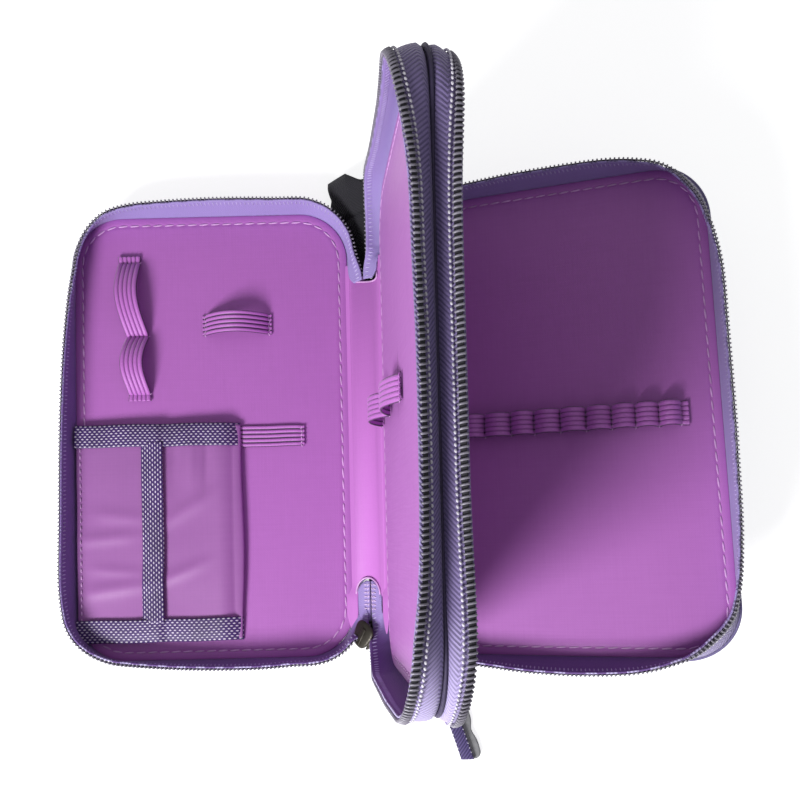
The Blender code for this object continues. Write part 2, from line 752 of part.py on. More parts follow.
def pocket(parent):
    """Flap with a back cloth, a front cloth, an outer pouch and ribbon bindings."""
    back_edge = GAP
    back = back_edge + RIBBON_BINDING + GAP
    front = back + POCKET_CLOTH + GAP
    pouch = front + POCKET_CLOTH + GAP
    over = pouch + POCKET_CLOTH + GAP
    top = POCKET_TOP_Y - RIBBON_BINDING - GAP
    bottom = POCKET_BOTTOM_Y + RIBBON_BINDING + GAP
    nylon = POCKET_NYLON
    sewn = RIBBON_BINDING
    sloped_panel("pocket_back_cloth", sewn, POCKET_REACH, bottom, top, back, POCKET_CLOTH, False, nylon, parent)
    sloped_panel("pocket_front_cloth", sewn, POCKET_REACH, bottom, top, front, POCKET_CLOTH, True, nylon, parent)
    sloped_panel("pocket_outer_pouch", sewn, POUCH_REACH, bottom, top, pouch, POCKET_CLOTH, True, nylon, parent)
    levels = (back_edge, over)
    edge_binding("pocket_top_binding", POCKET_TOP_Y, -1.0, POCKET_REACH, levels, parent)
    edge_binding("pocket_bottom_binding", POCKET_BOTTOM_Y, 1.0, POCKET_REACH, levels, parent)
    v_low = CENTRE_BINDING_START
    y_low = POCKET_BOTTOM_Y + RIBBON_BINDING_WIDTH + GAP
    y_high = POCKET_TOP_Y - RIBBON_BINDING_WIDTH - GAP
    v_high = v_low + CENTRE_BINDING_WIDTH
    name = "pocket_centre_binding"
    sloped_panel(name, v_low, v_high, y_low, y_high, over, RIBBON_BINDING, True, RIBBON, parent)


# Zip slider and its pull.


def slider(name, parent):
    """Slider body: two plates on a post, side flanges and a bail on the outer side."""
    half_y = SLIDER_LENGTH / 2
    half_x = SLIDER_WIDTH / 2
    plate_low = -LINING_THICKNESS - GAP
    roof = 2 * GAP + TAIL_TEETH_HEIGHT
    lap = SLIDER_PLATE / 2
    mesh = bmesh.new()
    add_box(mesh, (-half_x, -half_y, roof), (half_x, half_y, roof + SLIDER_PLATE))
    body = finish(name, mesh, METAL, parent)
    rest = bmesh.new()
    add_box(rest, (-half_x, -half_y, plate_low - SLIDER_PLATE), (half_x, half_y, plate_low))
    post_low = -half_y + GAP
    post_x = POST_WIDTH / 2
    add_box(rest, (-post_x, post_low, plate_low - lap), (post_x, post_low + POST_LENGTH, roof + lap))
    for side in (-1.0, 1.0):
        edge = sorted((side * (half_x - GAP / 2), side * (half_x - GAP / 2 - SLIDER_FLANGE)))
        add_box(rest, (edge[0], GAP / 2 - half_y, 2 * GAP), (edge[1], half_y - GAP / 2, roof + lap))
    drop = plate_low - SLIDER_PLATE
    floor = drop - BAIL_WINDOW
    bail_x = BAIL_WIDTH / 2
    bail_y = BAIL_LENGTH / 2
    add_box(rest, (-bail_x, -bail_y, floor - BAIL_WALL), (bail_x, bail_y, floor))
    for side in (-1.0, 1.0):
        leg = sorted((side * (bail_y - GAP / 2), side * (bail_y - BAIL_WALL)))
        foot = (GAP / 2 - bail_x, leg[0], floor - BAIL_WALL / 2)
        add_box(rest, foot, (bail_x - GAP / 2, leg[1], drop + lap))
    boolean(body, finish(name + "_parts", rest, METAL, parent), "UNION")


def pull_tab(name, heading, parent):
    """Flat tab with a window that rides on the bail; t runs along heading."""
    half = TAB_WIDTH / 2
    tip = half / 2
    outline = [
        (-half, -TAB_BAR / 2),
        (half, -TAB_BAR / 2),
        (half, TAB_LENGTH - half),
        (tip, TAB_LENGTH),
        (-tip, TAB_LENGTH),
        (-half, TAB_LENGTH - half),
    ]
    mesh = bmesh.new()
    levels = (-TAB_THICKNESS / 2, TAB_THICKNESS / 2)
    loft(mesh, [[(w, heading * t, n) for w, t in outline] for n in levels])
    body = finish(name, mesh, METAL, parent)
    hole = bmesh.new()
    inner = BAIL_WIDTH / 2 + SWING_GAP
    window = sorted((heading * TAB_BAR / 2, heading * (TAB_BAR / 2 + TAB_WINDOW)))
    add_box(hole, (-inner, window[0], -TAB_THICKNESS), (inner, window[1], TAB_THICKNESS))
    boolean(body, finish(name + "_window", hole, METAL, parent), "DIFFERENCE")


def ribbon_route(heading, side_reach, lift_reach, twist):
    """Stations of the pull ribbon: centre, width direction and normal.

    The ribbon leaves the tab straight, then bends sideways by side_reach,
    lifts by lift_reach and turns about its own line by twist.
    """
    stations = []
    level = TAB_THICKNESS / 2 + GAP + RIBBON_THICKNESS / 2
    for step in range(RIBBON_STEPS + 1):
        t = RIBBON_START + RIBBON_LENGTH * step / RIBBON_STEPS
        share = max(0.0, (t - RIBBON_BEND_START) / (RIBBON_START + RIBBON_LENGTH - RIBBON_BEND_START))
        bend = share ** BEND_POWER
        centre = Vector((side_reach * bend, heading * t, lift_reach * bend - level))
        turn = Matrix.Rotation(twist * share, 3, "Y")
        stations.append((centre, turn @ Vector((1.0, 0.0, 0.0)), turn @ Vector((0.0, 0.0, 1.0))))
    return stations


def band(mesh, stations, low, high, thickness, level):
    """Band between two widths along ribbon stations, at a level above their centre."""
    rings = []
    for centre, across, normal in stations:
        ring = []
        for w, n in ((low, -0.5), (high, -0.5), (high, 0.5), (low, 0.5)):
            ring.append(centre + across * w + normal * (level + n * thickness))
        rings.append(ring)
    loft(mesh, rings)


def pull(name, heading, side_reach, lift_reach, twist, tag_shift, parent):
    """Pull of one slider: metal tab, webbing ribbon and a soft tag."""
    pull_tab(f"{name}_tab", heading, parent)
    stations = ribbon_route(heading, side_reach, lift_reach, twist)
    mesh = bmesh.new()
    band(mesh, stations, -RIBBON_WIDTH / 2, RIBBON_WIDTH / 2, RIBBON_THICKNESS, 0.0)
    finish(f"{name}_ribbon", mesh, RIBBON, parent)
    level = (RIBBON_THICKNESS + TAG_THICKNESS) / 2 + GAP
    low = tag_shift - TAG_WIDTH / 2
    high = low + TAG_WIDTH
    count = math.ceil(RIBBON_STEPS * TAG_LENGTH / RIBBON_LENGTH)
    mesh = bmesh.new()
    band(mesh, stations[-count - 1:], low, high, TAG_THICKNESS, level)
    finish(f"{name}_tag", mesh, TAG_GREY, parent)


# Assembly.


def right_cover_height(tilt):
    """Height of the right cover's lowest edge above the table at a given tilt."""
    lean = math.radians(DIVIDER_LEAN)
    left_turn = lean - (math.pi / 2 + lean) / 2
    right_turn = lean + (math.pi / 2 - lean - tilt) / 2
    fold = COVER_DEPTH - LEFT_STRIP_WIDTH * math.sin(left_turn)
    fold -= DIVIDER_THICKNESS * math.sin(lean) + RIGHT_STRIP_WIDTH * math.sin(right_turn)
    edge_u = GAP + SHELL_EDGE_RADIUS
    edge_n = SHELL_EDGE_RADIUS - COVER_DEPTH
    return fold + edge_u * math.sin(tilt) + edge_n * math.cos(tilt) - SHELL_EDGE_RADIUS


def right_cover_tilt():
    """Tilt at which the right cover's spine edge just rests on the table."""
    low, high = 0.0, math.radians(STEEPEST_TILT)
    for _ in range(TILT_ROUNDS):
        middle = (low + high) / 2
        if right_cover_height(middle) < 0:
            low = middle
        else:
            high = middle
    return (low + high) / 2


def remove_everything():
    """Clear the scene."""
    for item in list(bpy.data.objects):
        bpy.data.objects.remove(item, do_unlink=True)


def main():
    """Build the open case."""
    remove_everything()
    lean = math.radians(DIVIDER_LEAN)
    tilt = right_cover_tilt()
    left_opening = math.pi / 2 + lean
    right_opening = math.pi / 2 - lean - tilt
    left_turn = lean - left_opening / 2
    base_centre = (LEAF_WIDTH + TAPE_THICKNESS + 2 * GAP) / 2
    fold_x = base_centre + LEFT_STRIP_WIDTH * math.cos(left_turn)
    fold_z = COVER_DEPTH - LEFT_STRIP_WIDTH * math.sin(left_turn)
    half = DIVIDER_THICKNESS / 2
    foot = (fold_x + half * math.cos(lean), 0.0, fold_z - half * math.sin(lean))

    middle = frame("divider_frame", None, foot, lean)
    left_spine = frame("left_spine_frame", middle, (-half, 0.0, 0.0), -left_opening / 2)
    turn = (math.pi - left_opening) / 2
    left_cover = frame("left_cover_frame", left_spine, (-LEFT_STRIP_WIDTH, 0.0, 0.0), turn)
    right_spine = frame("right_spine_frame", middle, (half, 0.0, 0.0), right_opening / 2)
    turn = (right_opening - math.pi) / 2
    right_cover = frame("right_cover_frame", right_spine, (RIGHT_STRIP_WIDTH, 0.0, 0.0), turn)

    divider(middle)
    spine("left", -1.0, LEFT_STRIP_WIDTH, left_spine)
    spine("right", 1.0, RIGHT_STRIP_WIDTH, right_spine)
    cover("left", -1.0, LEFT_COVER_WALL, left_cover)
    cover("right", 1.0, RIGHT_COVER_WALL, right_cover)
    grab_tab(-1.0, left_spine)
    elastics(left_cover, right_cover, middle)

    pocket_seam(left_cover)
    pocket(frame("pocket_frame", left_cover, (-POCKET_HINGE_U, 0.0, POCKET_STACK)))

    for side_name, side, carrier in (("left", -1.0, left_spine), ("right", 1.0, right_spine)):
        spot = frame(f"{side_name}_slider_frame", carrier, (side * ZIP_LINE, -SLIDER_REST, 0.0))
        slider(f"{side_name}_slider", spot)
        swing = frame(f"{side_name}_pull_frame", spot, (0.0, 0.0, -HINGE_DROP))
        if side < 0:
            pull("left_pull", 1.0, 0.0, 0.0, 0.0, 0.0, swing)
        else:
            shift = (RIBBON_WIDTH + TAG_WIDTH) / 2 - TAG_LAP
            twist = -math.radians(RIGHT_PULL_TWIST)
            pull("right_pull", -1.0, RIGHT_PULL_SIDE, RIGHT_PULL_LIFT, twist, shift, swing)
    bpy.context.view_layer.update()


main()
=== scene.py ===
"""Looks of an open two-compartment zippered pencil case.

Each leaf of the case (two padded covers and the two faces of the divider) has
its own frame: u runs away from its fold, y runs along the fold and n points
into the compartment. Lengths are in metres.
"""

import json
import logging
import math
from dataclasses import dataclass, field
from enum import Enum
from typing import Callable, Sequence

import bmesh
import bpy
import numpy as np
from mathutils import Matrix, Vector


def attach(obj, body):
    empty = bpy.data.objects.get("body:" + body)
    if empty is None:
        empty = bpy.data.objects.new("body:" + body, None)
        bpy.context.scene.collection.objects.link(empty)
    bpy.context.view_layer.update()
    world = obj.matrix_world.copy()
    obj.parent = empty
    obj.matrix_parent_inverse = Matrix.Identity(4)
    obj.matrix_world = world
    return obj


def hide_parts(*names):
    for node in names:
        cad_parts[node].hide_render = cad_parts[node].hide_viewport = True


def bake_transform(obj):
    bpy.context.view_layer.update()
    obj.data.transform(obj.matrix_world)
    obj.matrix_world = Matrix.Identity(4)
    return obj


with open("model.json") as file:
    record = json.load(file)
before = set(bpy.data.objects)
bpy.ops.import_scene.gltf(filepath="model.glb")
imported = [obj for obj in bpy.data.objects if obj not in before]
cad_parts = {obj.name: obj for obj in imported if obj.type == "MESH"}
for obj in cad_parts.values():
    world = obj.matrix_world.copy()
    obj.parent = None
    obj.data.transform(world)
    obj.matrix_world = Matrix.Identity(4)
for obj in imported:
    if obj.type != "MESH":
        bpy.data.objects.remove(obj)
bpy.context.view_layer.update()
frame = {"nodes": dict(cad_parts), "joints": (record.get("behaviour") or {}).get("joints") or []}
LOG = logging.getLogger("pencil_case")
RIM_STEPS = 420
CORNER_STEPS, LONG_STEPS, SHORT_STEPS = 14, 110, 60
RISE_STEPS = 40

Array = np.ndarray
Object = bpy.types.Object
Socket = bpy.types.NodeSocket


# Modelling helpers.


def clear_selection() -> None:
    """Leave edit mode and deselect everything."""
    if bpy.context.object and bpy.context.object.mode != "OBJECT":
        bpy.ops.object.mode_set(mode="OBJECT")
    bpy.ops.object.select_all(action="DESELECT")


def select_only(obj: Object) -> None:
    """Make one object the active and only selected one."""
    clear_selection()
    obj.select_set(True)
    bpy.context.view_layer.objects.active = obj


def settle_place(obj: Object) -> None:
    """Write an object's place, turn and scale into its mesh."""
    select_only(obj)
    bpy.ops.object.transform_apply(location=True, rotation=True, scale=True)


def bake_modifiers(obj: Object) -> None:
    """Apply all modifiers of an object in order."""
    select_only(obj)
    for modifier in list(obj.modifiers):
        bpy.ops.object.modifier_apply(modifier=modifier.name)


def pick(obj: Object, test: Callable[[Vector], bool], faces: bool = False) -> None:
    """Select a mesh's corners or faces by their place and enter edit mode.

    Args:
        obj: Mesh object to edit.
        test: Says whether the element at a place is picked.
        faces: Whether faces are picked.
    """
    select_only(obj)
    mesh = obj.data
    bpy.ops.object.mode_set(mode="EDIT")
    bpy.ops.mesh.select_mode(type="FACE" if faces else "VERT")
    bpy.ops.mesh.select_all(action="DESELECT")
    bpy.ops.object.mode_set(mode="OBJECT")
    if faces:
        for face in mesh.polygons:
            face.select = test(face.center)
    else:
        for vertex in mesh.vertices:
            vertex.select = test(vertex.co)
    bpy.ops.object.mode_set(mode="EDIT")


def leave_edit() -> None:
    """Return to object mode."""
    bpy.ops.object.mode_set(mode="OBJECT")


def add_block(name: str, centre: Sequence[float], size: Sequence[float]) -> Object:
    """Add a block by the cube operator at its size and place."""
    clear_selection()
    bpy.ops.mesh.primitive_cube_add(size=1.0, location=centre, scale=size)
    block = bpy.context.object
    block.name = name
    settle_place(block)
    return block


def soften(obj: Object, width: float, steps: int = 2) -> Object:
    """Round an object's sharp edges with an applied bevel."""
    change = obj.modifiers.new("soft_edges", "BEVEL")
    change.width = width
    change.segments = steps
    change.limit_method = "ANGLE"
    change.angle_limit = math.radians(40.0)
    bake_modifiers(obj)
    return obj


def cut(obj: Object, tool: Object) -> None:
    """Cut one object by another, which is then removed."""
    change = obj.modifiers.new("cut", "BOOLEAN")
    change.operation = "DIFFERENCE"
    change.object = tool
    bake_modifiers(obj)
    bpy.data.objects.remove(tool, do_unlink=True)


def join(name: str, parts: Sequence[Object]) -> Object:
    """Join several objects into one."""
    clear_selection()
    for part in parts:
        part.select_set(True)
    bpy.context.view_layer.objects.active = parts[0]
    if len(parts) > 1:
        bpy.ops.object.join()
    joined = bpy.context.object
    joined.name = name
    return joined


def turn_outwards(obj: Object) -> None:
    """Merge doubles and point all faces of a mesh outwards."""
    mesh = bmesh.new()
    mesh.from_mesh(obj.data)
    bmesh.ops.remove_doubles(mesh, verts=mesh.verts, dist=1e-6)
    bmesh.ops.recalc_face_normals(mesh, faces=mesh.faces)
    mesh.to_mesh(obj.data)
    mesh.free()


def smooth(obj: Object) -> None:
    """Shade an object smooth, apart from its sharp edges."""
    select_only(obj)
    bpy.ops.object.shade_smooth_by_angle(angle=math.radians(50.0))


def run_along(points: Array) -> Array:
    """Distance of each point along a line of points."""
    return np.concatenate([[0.0], np.cumsum(np.linalg.norm(np.diff(points, axis=0), axis=1))])


def unit(vectors: Array) -> Array:
    """Vectors brought to length one."""
    return vectors / np.linalg.norm(vectors, axis=-1, keepdims=True)


def pairs(first: Array, second: Array) -> Array:
    """All pairs of two coordinates, as rows by columns by 2."""
    return np.stack(np.meshgrid(first, second, indexing="ij"), axis=-1)


def closed(ring: Array) -> Array:
    """Ring of points with its first point again at the end."""
    return np.concatenate([ring, ring[:1]])


def full_turn(steps: int) -> Array:
    """Evenly spaced angles round a circle."""
    return np.linspace(0.0, 2 * math.pi, steps, endpoint=False)


def turned_by(angle: float) -> Matrix:
    """Matrix that turns about Z."""
    return Matrix.Rotation(angle, 4, "Z")


def matrices(axes: Sequence[Array], spots: Array) -> Array:
    """Matrices (count by 4 by 4) from three axes and their places."""
    made = np.zeros((len(spots), 4, 4))
    for column, values in enumerate((*axes, spots)):
        made[:, :3, column] = values
    made[:, 3, 3] = 1.0
    return made


def surface(name: str, points: Array, uv: Array, wrap: bool = False, caps: bool = False) -> Object:
    """Build a surface through a grid of points.

    Args:
        name: Name of the object.
        points: Rows by columns by 3 places.
        uv: Rows by columns (one more when wrapped) by 2 pattern places, in metres.
        wrap: Whether the last column joins the first.
        caps: Whether the first and last rows are filled.

    Returns:
        The new mesh object.
    """
    rows, columns = points.shape[:2]
    places = np.arange(rows * columns).reshape(rows, columns)
    marks = np.arange(uv.shape[0] * uv.shape[1]).reshape(uv.shape[:2])
    if wrap:
        places = np.concatenate([places, places[:, :1]], axis=1)

    def quads(grid: Array) -> Array:
        corners = (grid[:-1, :-1], grid[:-1, 1:], grid[1:, 1:], grid[1:, :-1])
        return np.stack(corners, axis=-1).reshape(-1, 4)

    faces = quads(places).tolist()
    loops = quads(marks).ravel().tolist()
    if caps:
        ends = (
            (places[0, :columns][::-1], marks[0, :columns][::-1]),
            (places[-1, :columns], marks[-1, :columns]),
        )
        for ring, ring_marks in ends:
            faces.append(ring.tolist())
            loops += ring_marks.tolist()
    mesh = bpy.data.meshes.new(name)
    mesh.from_pydata(points.reshape(-1, 3).tolist(), [], faces)
    layer = mesh.uv_layers.new(name="pattern")
    layer.data.foreach_set("uv", uv.reshape(-1, 2)[loops].astype(np.float32).ravel())
    made = bpy.data.objects.new(name, mesh)
    bpy.context.scene.collection.objects.link(made)
    mesh.shade_smooth()
    return made


def solid_through(name: str, points: Array, uv: Array) -> Object:
    """Build a closed solid through rings of points, its ends filled."""
    made = surface(name, points, uv, wrap=True, caps=True)
    turn_outwards(made)
    return made


def tube(name: str, path: Array, radius: float) -> Object:
    """Build a round cord along a path.

    Args:
        name: Name of the object.
        path: Points along the cord's middle.
        radius: Radius of the cord.

    Returns:
        The new mesh object.
    """
    ahead = unit(np.gradient(path, axis=0))
    side = np.cross(ahead[0], (0.0, 0.3, 1.0))
    turn = full_turn(8)[:, None]
    rings = []
    for spot, way in zip(path, ahead):
        side = unit(side - way * (side @ way))
        rings.append(spot + radius * (np.cos(turn) * side + np.sin(turn) * np.cross(way, side)))
    marks = pairs(run_along(path), np.linspace(0.0, 2 * math.pi * radius, len(turn) + 1))
    return solid_through(name, np.array(rings), marks)


def ease(share: Array) -> Array:
    """Smooth step from 0 to 1."""
    share = np.clip(share, 0.0, 1.0)
    return share * share * (3.0 - 2.0 * share)


def even_sections(sections: Array, count: int = 13) -> Array:
    """Space the points of each cross-section evenly."""
    run = np.linalg.norm(np.diff(sections, axis=1), axis=2)
    run = np.concatenate([np.zeros((len(run), 1)), np.cumsum(run, axis=1)], axis=1)
    share = np.linspace(0.0, 1.0, count)
    even = [
        [np.interp(share * line[-1], line, points[:, k]) for k in range(3)]
        for line, points in zip(run, sections)
    ]
    return np.array(even).transpose(0, 2, 1)


def thicken(obj: Object, thickness: float, offset: float = 0.0) -> Object:
    """Give a surface a thickness and point its faces outwards."""
    change = obj.modifiers.new("cloth_thickness", "SOLIDIFY")
    change.thickness = thickness
    change.offset = offset
    bake_modifiers(obj)
    turn_outwards(obj)
    return obj


def scatter(name: str, piece: Object, places: Array) -> Object:
    """Copy one modelled piece to many places as one mesh.

    Args:
        name: Name of the new object.
        piece: Object that is copied, and then removed.
        places: Count by 4 by 4 matrices.

    Returns:
        The object with all copies.
    """
    base = piece.data
    points = np.ones((len(base.vertices), 4))
    points[:, :3] = [v.co for v in base.vertices]
    faces = [list(face.vertices) for face in base.polygons]
    moved = np.einsum("kij,vj->kvi", places, points)[..., :3]
    count = len(points)
    all_faces = [
        [index + k * count for index in face] for k in range(len(places)) for face in faces
    ]
    mesh = bpy.data.meshes.new(name)
    mesh.from_pydata(moved.reshape(-1, 3).tolist(), [], all_faces)
    mesh.shade_smooth()
    made = bpy.data.objects.new(name, mesh)
    bpy.context.scene.collection.objects.link(made)
    bpy.data.objects.remove(piece, do_unlink=True)
    return made


def ripple(a: Array, b: Array, size: float, seed: float) -> Array:
    """Smooth uneven waves between -1 and 1 over two coordinates.

    Args:
        a: First coordinate.
        b: Second coordinate.
        size: Rough distance between crests.
        seed: Number that changes the pattern.

    Returns:
        The height at each place.
    """
    total = np.zeros(np.broadcast(a, b).shape)
    for k in range(1, 6):
        angle = seed * 1.7 + k * 2.4
        wave = 2 * math.pi / (size * (0.6 + 0.23 * k))
        total = total + np.sin(wave * (a * math.cos(angle) + b * math.sin(angle)) + seed * k) / 5
    return total


# Shading.


Colour = tuple[float, float, float]


def opaque(colour: Colour) -> tuple[float, float, float, float]:
    """Colour with full alpha."""
    return (*colour, 1.0)


def toned(colour: Colour, factor: float) -> Colour:
    """Colour made darker or lighter by a factor."""
    return tuple(min(1.0, part * factor) for part in colour)


class Graph:
    """Short calls for building a shader node tree."""

    def __init__(self, tree: bpy.types.NodeTree) -> None:
        self.tree = tree

    def node(self, kind: str, **settings: object) -> bpy.types.Node:
        """Add a node and set its properties."""
        made = self.tree.nodes.new(kind)
        for key, value in settings.items():
            setattr(made, key, value)
        return made

    def feed(self, socket: Socket, value: object) -> None:
        """Link a socket to another, or set its value."""
        if isinstance(value, bpy.types.NodeSocket):
            self.tree.links.new(value, socket)
        elif value is not None:
            socket.default_value = value

    def fed(self, kind: str, *values: object, **settings: object) -> bpy.types.Node:
        """Add a node and feed its first inputs in order."""
        made = self.node(kind, **settings)
        for socket, value in zip(made.inputs, values):
            self.feed(socket, value)
        return made

    def math(self, operation: str, a: object, b: object = None) -> Socket:
        """Result of a math node."""
        return self.fed("ShaderNodeMath", a, b, operation=operation).outputs[0]

    def add(self, a: object, b: object) -> Socket:
        """Sum of two values."""
        return self.math("ADD", a, b)

    def times(self, a: object, b: object) -> Socket:
        """Product of two values."""
        return self.math("MULTIPLY", a, b)

    def weighed(self, a: Socket, a_share: float, b: Socket, b_share: float) -> Socket:
        """Sum of two values, each times its share."""
        return self.add(self.times(a, a_share), self.times(b, b_share))

    def mix(self, factor: object, a: object, b: object) -> Socket:
        """Colour between two colours."""
        made = self.node("ShaderNodeMix", data_type="RGBA")
        self.feed(made.inputs[0], factor)
        self.feed(made.inputs[6], a)
        self.feed(made.inputs[7], b)
        return made.outputs[2]

    def span(
        self, value: object, low: float, high: float, to_low: float = 0.0, to_high: float = 1.0,
    ) -> Socket:
        """Map a value from one span to another, clamped."""
        return self.fed(
            "ShaderNodeMapRange", value, low, high, to_low, to_high, clamp=True,
        ).outputs[0]

    def ramp(self, value: Socket, low: float, high: float, dark: Colour, light: Colour) -> Socket:
        """Colour that goes from one to another over a span of a value."""
        return self.mix(self.span(value, low, high), opaque(dark), opaque(light))

    def noise(self, vector: Socket, scale: float, detail: float = 3.0) -> Socket:
        """Value of a noise texture."""
        made = self.node("ShaderNodeTexNoise")
        self.feed(made.inputs["Vector"], vector)
        self.feed(made.inputs["Scale"], scale)
        made.inputs["Detail"].default_value = detail
        return made.outputs[0]

    def scaled(self, vector: Socket, scale: Sequence[float]) -> Socket:
        """Vector scaled along each of its axes."""
        made = self.node("ShaderNodeMapping")
        self.feed(made.inputs["Vector"], vector)
        made.inputs["Scale"].default_value = scale
        return made.outputs[0]

    def parts(self, vector: Socket) -> Sequence[Socket]:
        """X, Y and Z of a vector."""
        return self.fed("ShaderNodeSeparateXYZ", vector).outputs

    def pattern(self) -> Socket:
        """Place in the cloth's pattern, in metres."""
        return self.node("ShaderNodeUVMap", uv_map="pattern").outputs[0]

    def solid(self) -> Socket:
        """Place in the object's own space."""
        return self.node("ShaderNodeTexCoord").outputs["Object"]

    def effect(self, group: bpy.types.NodeTree, **values: object) -> Socket:
        """Place a node group, feed its inputs by name and take its result."""
        made = self.node("ShaderNodeGroup", node_tree=group)
        for key, value in values.items():
            self.feed(made.inputs[key], value)
        return made.outputs[0]


def new_group(
    name: str, inputs: dict[str, float], result: str,
) -> tuple[bpy.types.NodeTree, Graph, dict]:
    """Start a shader node group with a vector input and named numbers.

    Args:
        name: Name of the group.
        inputs: Float inputs with their defaults.
        result: Name of the float output.

    Returns:
        The group, its graph, and its input sockets by name.
    """
    group = bpy.data.node_groups.new(name, "ShaderNodeTree")
    group.interface.new_socket("Place", in_out="INPUT", socket_type="NodeSocketVector")
    for key, value in inputs.items():
        socket = group.interface.new_socket(key, in_out="INPUT", socket_type="NodeSocketFloat")
        socket.default_value = value
    group.interface.new_socket(result, in_out="OUTPUT", socket_type="NodeSocketFloat")
    graph = Graph(group)
    entry = graph.node("NodeGroupInput")
    return group, graph, {socket.name: socket for socket in entry.outputs}


class Effects:
    """Shared surface effects, each a node group that is built once."""

    def __init__(self) -> None:
        self.plain_weave = self._plain_weave()
        self.streaks = self._streaks()
        self.chevrons = self._chevrons()
        self.dots = self._dots()
        self.mottle = self._mottle()

    @staticmethod
    def _plain_weave() -> bpy.types.NodeTree:
        """Over-and-under threads along both pattern directions."""
        inputs = {"Across": 2500.0, "Along": 2500.0}
        group, graph, given = new_group("plain_weave", inputs, "Height")
        waves = [
            graph.math("SINE", graph.times(graph.times(socket, given[key]), math.pi))
            for socket, key in zip(graph.parts(given["Place"]), inputs)
        ]
        height = graph.math("MULTIPLY_ADD", graph.times(*waves), 0.5)
        graph.fed("NodeGroupOutput", height)
        return group

    @staticmethod
    def _streaks() -> bpy.types.NodeTree:
        """Uneven threads that show as fine streaks both ways."""
        group, graph, given = new_group("thread_streaks", {}, "Streak")
        ways = ((1500.0, 40.0, 1.0), (35.0, 1300.0, 1.0))
        noises = [graph.noise(graph.scaled(given["Place"], way), 1.0, 2.0) for way in ways]
        graph.fed("NodeGroupOutput", graph.times(graph.add(*noises), 0.5))
        return group

    @staticmethod
    def _chevrons() -> bpy.types.NodeTree:
        """Slanted ribs that turn back at each column, as in herringbone tape."""
        inputs = {"Rib": 760.0, "Column": 0.0044, "Slope": 0.8}
        group, graph, given = new_group("herringbone_ribs", inputs, "Height")
        x, y, _ = graph.parts(given["Place"])
        column = graph.math("PINGPONG", y, given["Column"])
        slanted = graph.add(x, graph.times(column, given["Slope"]))
        phase = graph.times(graph.times(slanted, given["Rib"]), 2 * math.pi)
        graph.fed("NodeGroupOutput", graph.math("MULTIPLY_ADD", graph.math("SINE", phase), 0.5))
        return group

    @staticmethod
    def _dots() -> bpy.types.NodeTree:
        """Staggered rows of woven dots."""
        inputs = {"Across": 470.0, "Along": 900.0, "Size": 0.25}
        group, graph, given = new_group("woven_dots", inputs, "Dot")
        x, y, _ = graph.parts(given["Place"])
        row = graph.times(y, given["Along"])
        odd = graph.times(graph.math("MODULO", graph.math("FLOOR", row), 2.0), 0.5)
        column = graph.add(graph.times(x, given["Across"]), odd)
        squares = []
        for value in (column, row):
            reach = graph.math("ABSOLUTE", graph.math("SUBTRACT", graph.math("FRACT", value), 0.5))
            squares.append(graph.times(reach, reach))
        distance = graph.math("SQRT", graph.add(*squares))
        inside = graph.math("SUBTRACT", given["Size"], distance)
        graph.fed("NodeGroupOutput", graph.span(inside, -0.06, 0.06))
        return group

    @staticmethod
    def _mottle() -> bpy.types.NodeTree:
        """Broad and fine unevenness of a dyed cloth."""
        group, graph, given = new_group("uneven_dye", {"Size": 1.0}, "Shade")
        place = graph.node("ShaderNodeVectorMath", operation="SCALE")
        graph.feed(place.inputs[0], given["Place"])
        graph.feed(place.inputs["Scale"], given["Size"])
        broad = graph.noise(place.outputs[0], 22.0, 2.0)
        fine = graph.noise(place.outputs[0], 260.0, 4.0)
        graph.fed("NodeGroupOutput", graph.weighed(broad, 0.6, fine, 0.4))
        return group


@dataclass(frozen=True)
class Finish:
    """Start of every material: a Principled shader with its constant values."""

    name: str
    colour: Colour
    roughness: float = 0.6
    sheen: float = 0.0
    metallic: float = 0.0

    def start(self) -> tuple[bpy.types.Material, Graph, bpy.types.Node]:
        """Make the material with its Principled shader."""
        material = bpy.data.materials.new(self.name)
        material.use_nodes = True
        graph = Graph(material.node_tree)
        shader = material.node_tree.nodes["Principled BSDF"]
        constants = {
            "Base Color": opaque(self.colour), "Roughness": self.roughness,
            "Metallic": self.metallic,
            "Sheen Weight": self.sheen, "Sheen Roughness": 0.4,
        }
        for key, value in constants.items():
            shader.inputs[key].default_value = value
        return material, graph, shader

    def finish(
        self, graph: Graph, shader: bpy.types.Node, colour: Socket, height: Socket, depth: float,
        rough: Socket | None = None,
    ) -> None:
        """Feed the shader.

        Args:
            graph: Graph of the material.
            shader: Its Principled shader.
            colour: Base colour.
            height: Relief between 0 and 1.
            depth: Depth of the relief in metres.
            rough: Roughness, where it varies.
        """
        graph.feed(shader.inputs["Base Color"], colour)
        graph.feed(shader.inputs["Roughness"], rough)
        made = graph.node("ShaderNodeBump")
        made.inputs["Distance"].default_value = depth
        graph.feed(made.inputs["Height"], height)
        graph.feed(shader.inputs["Normal"], made.outputs[0])


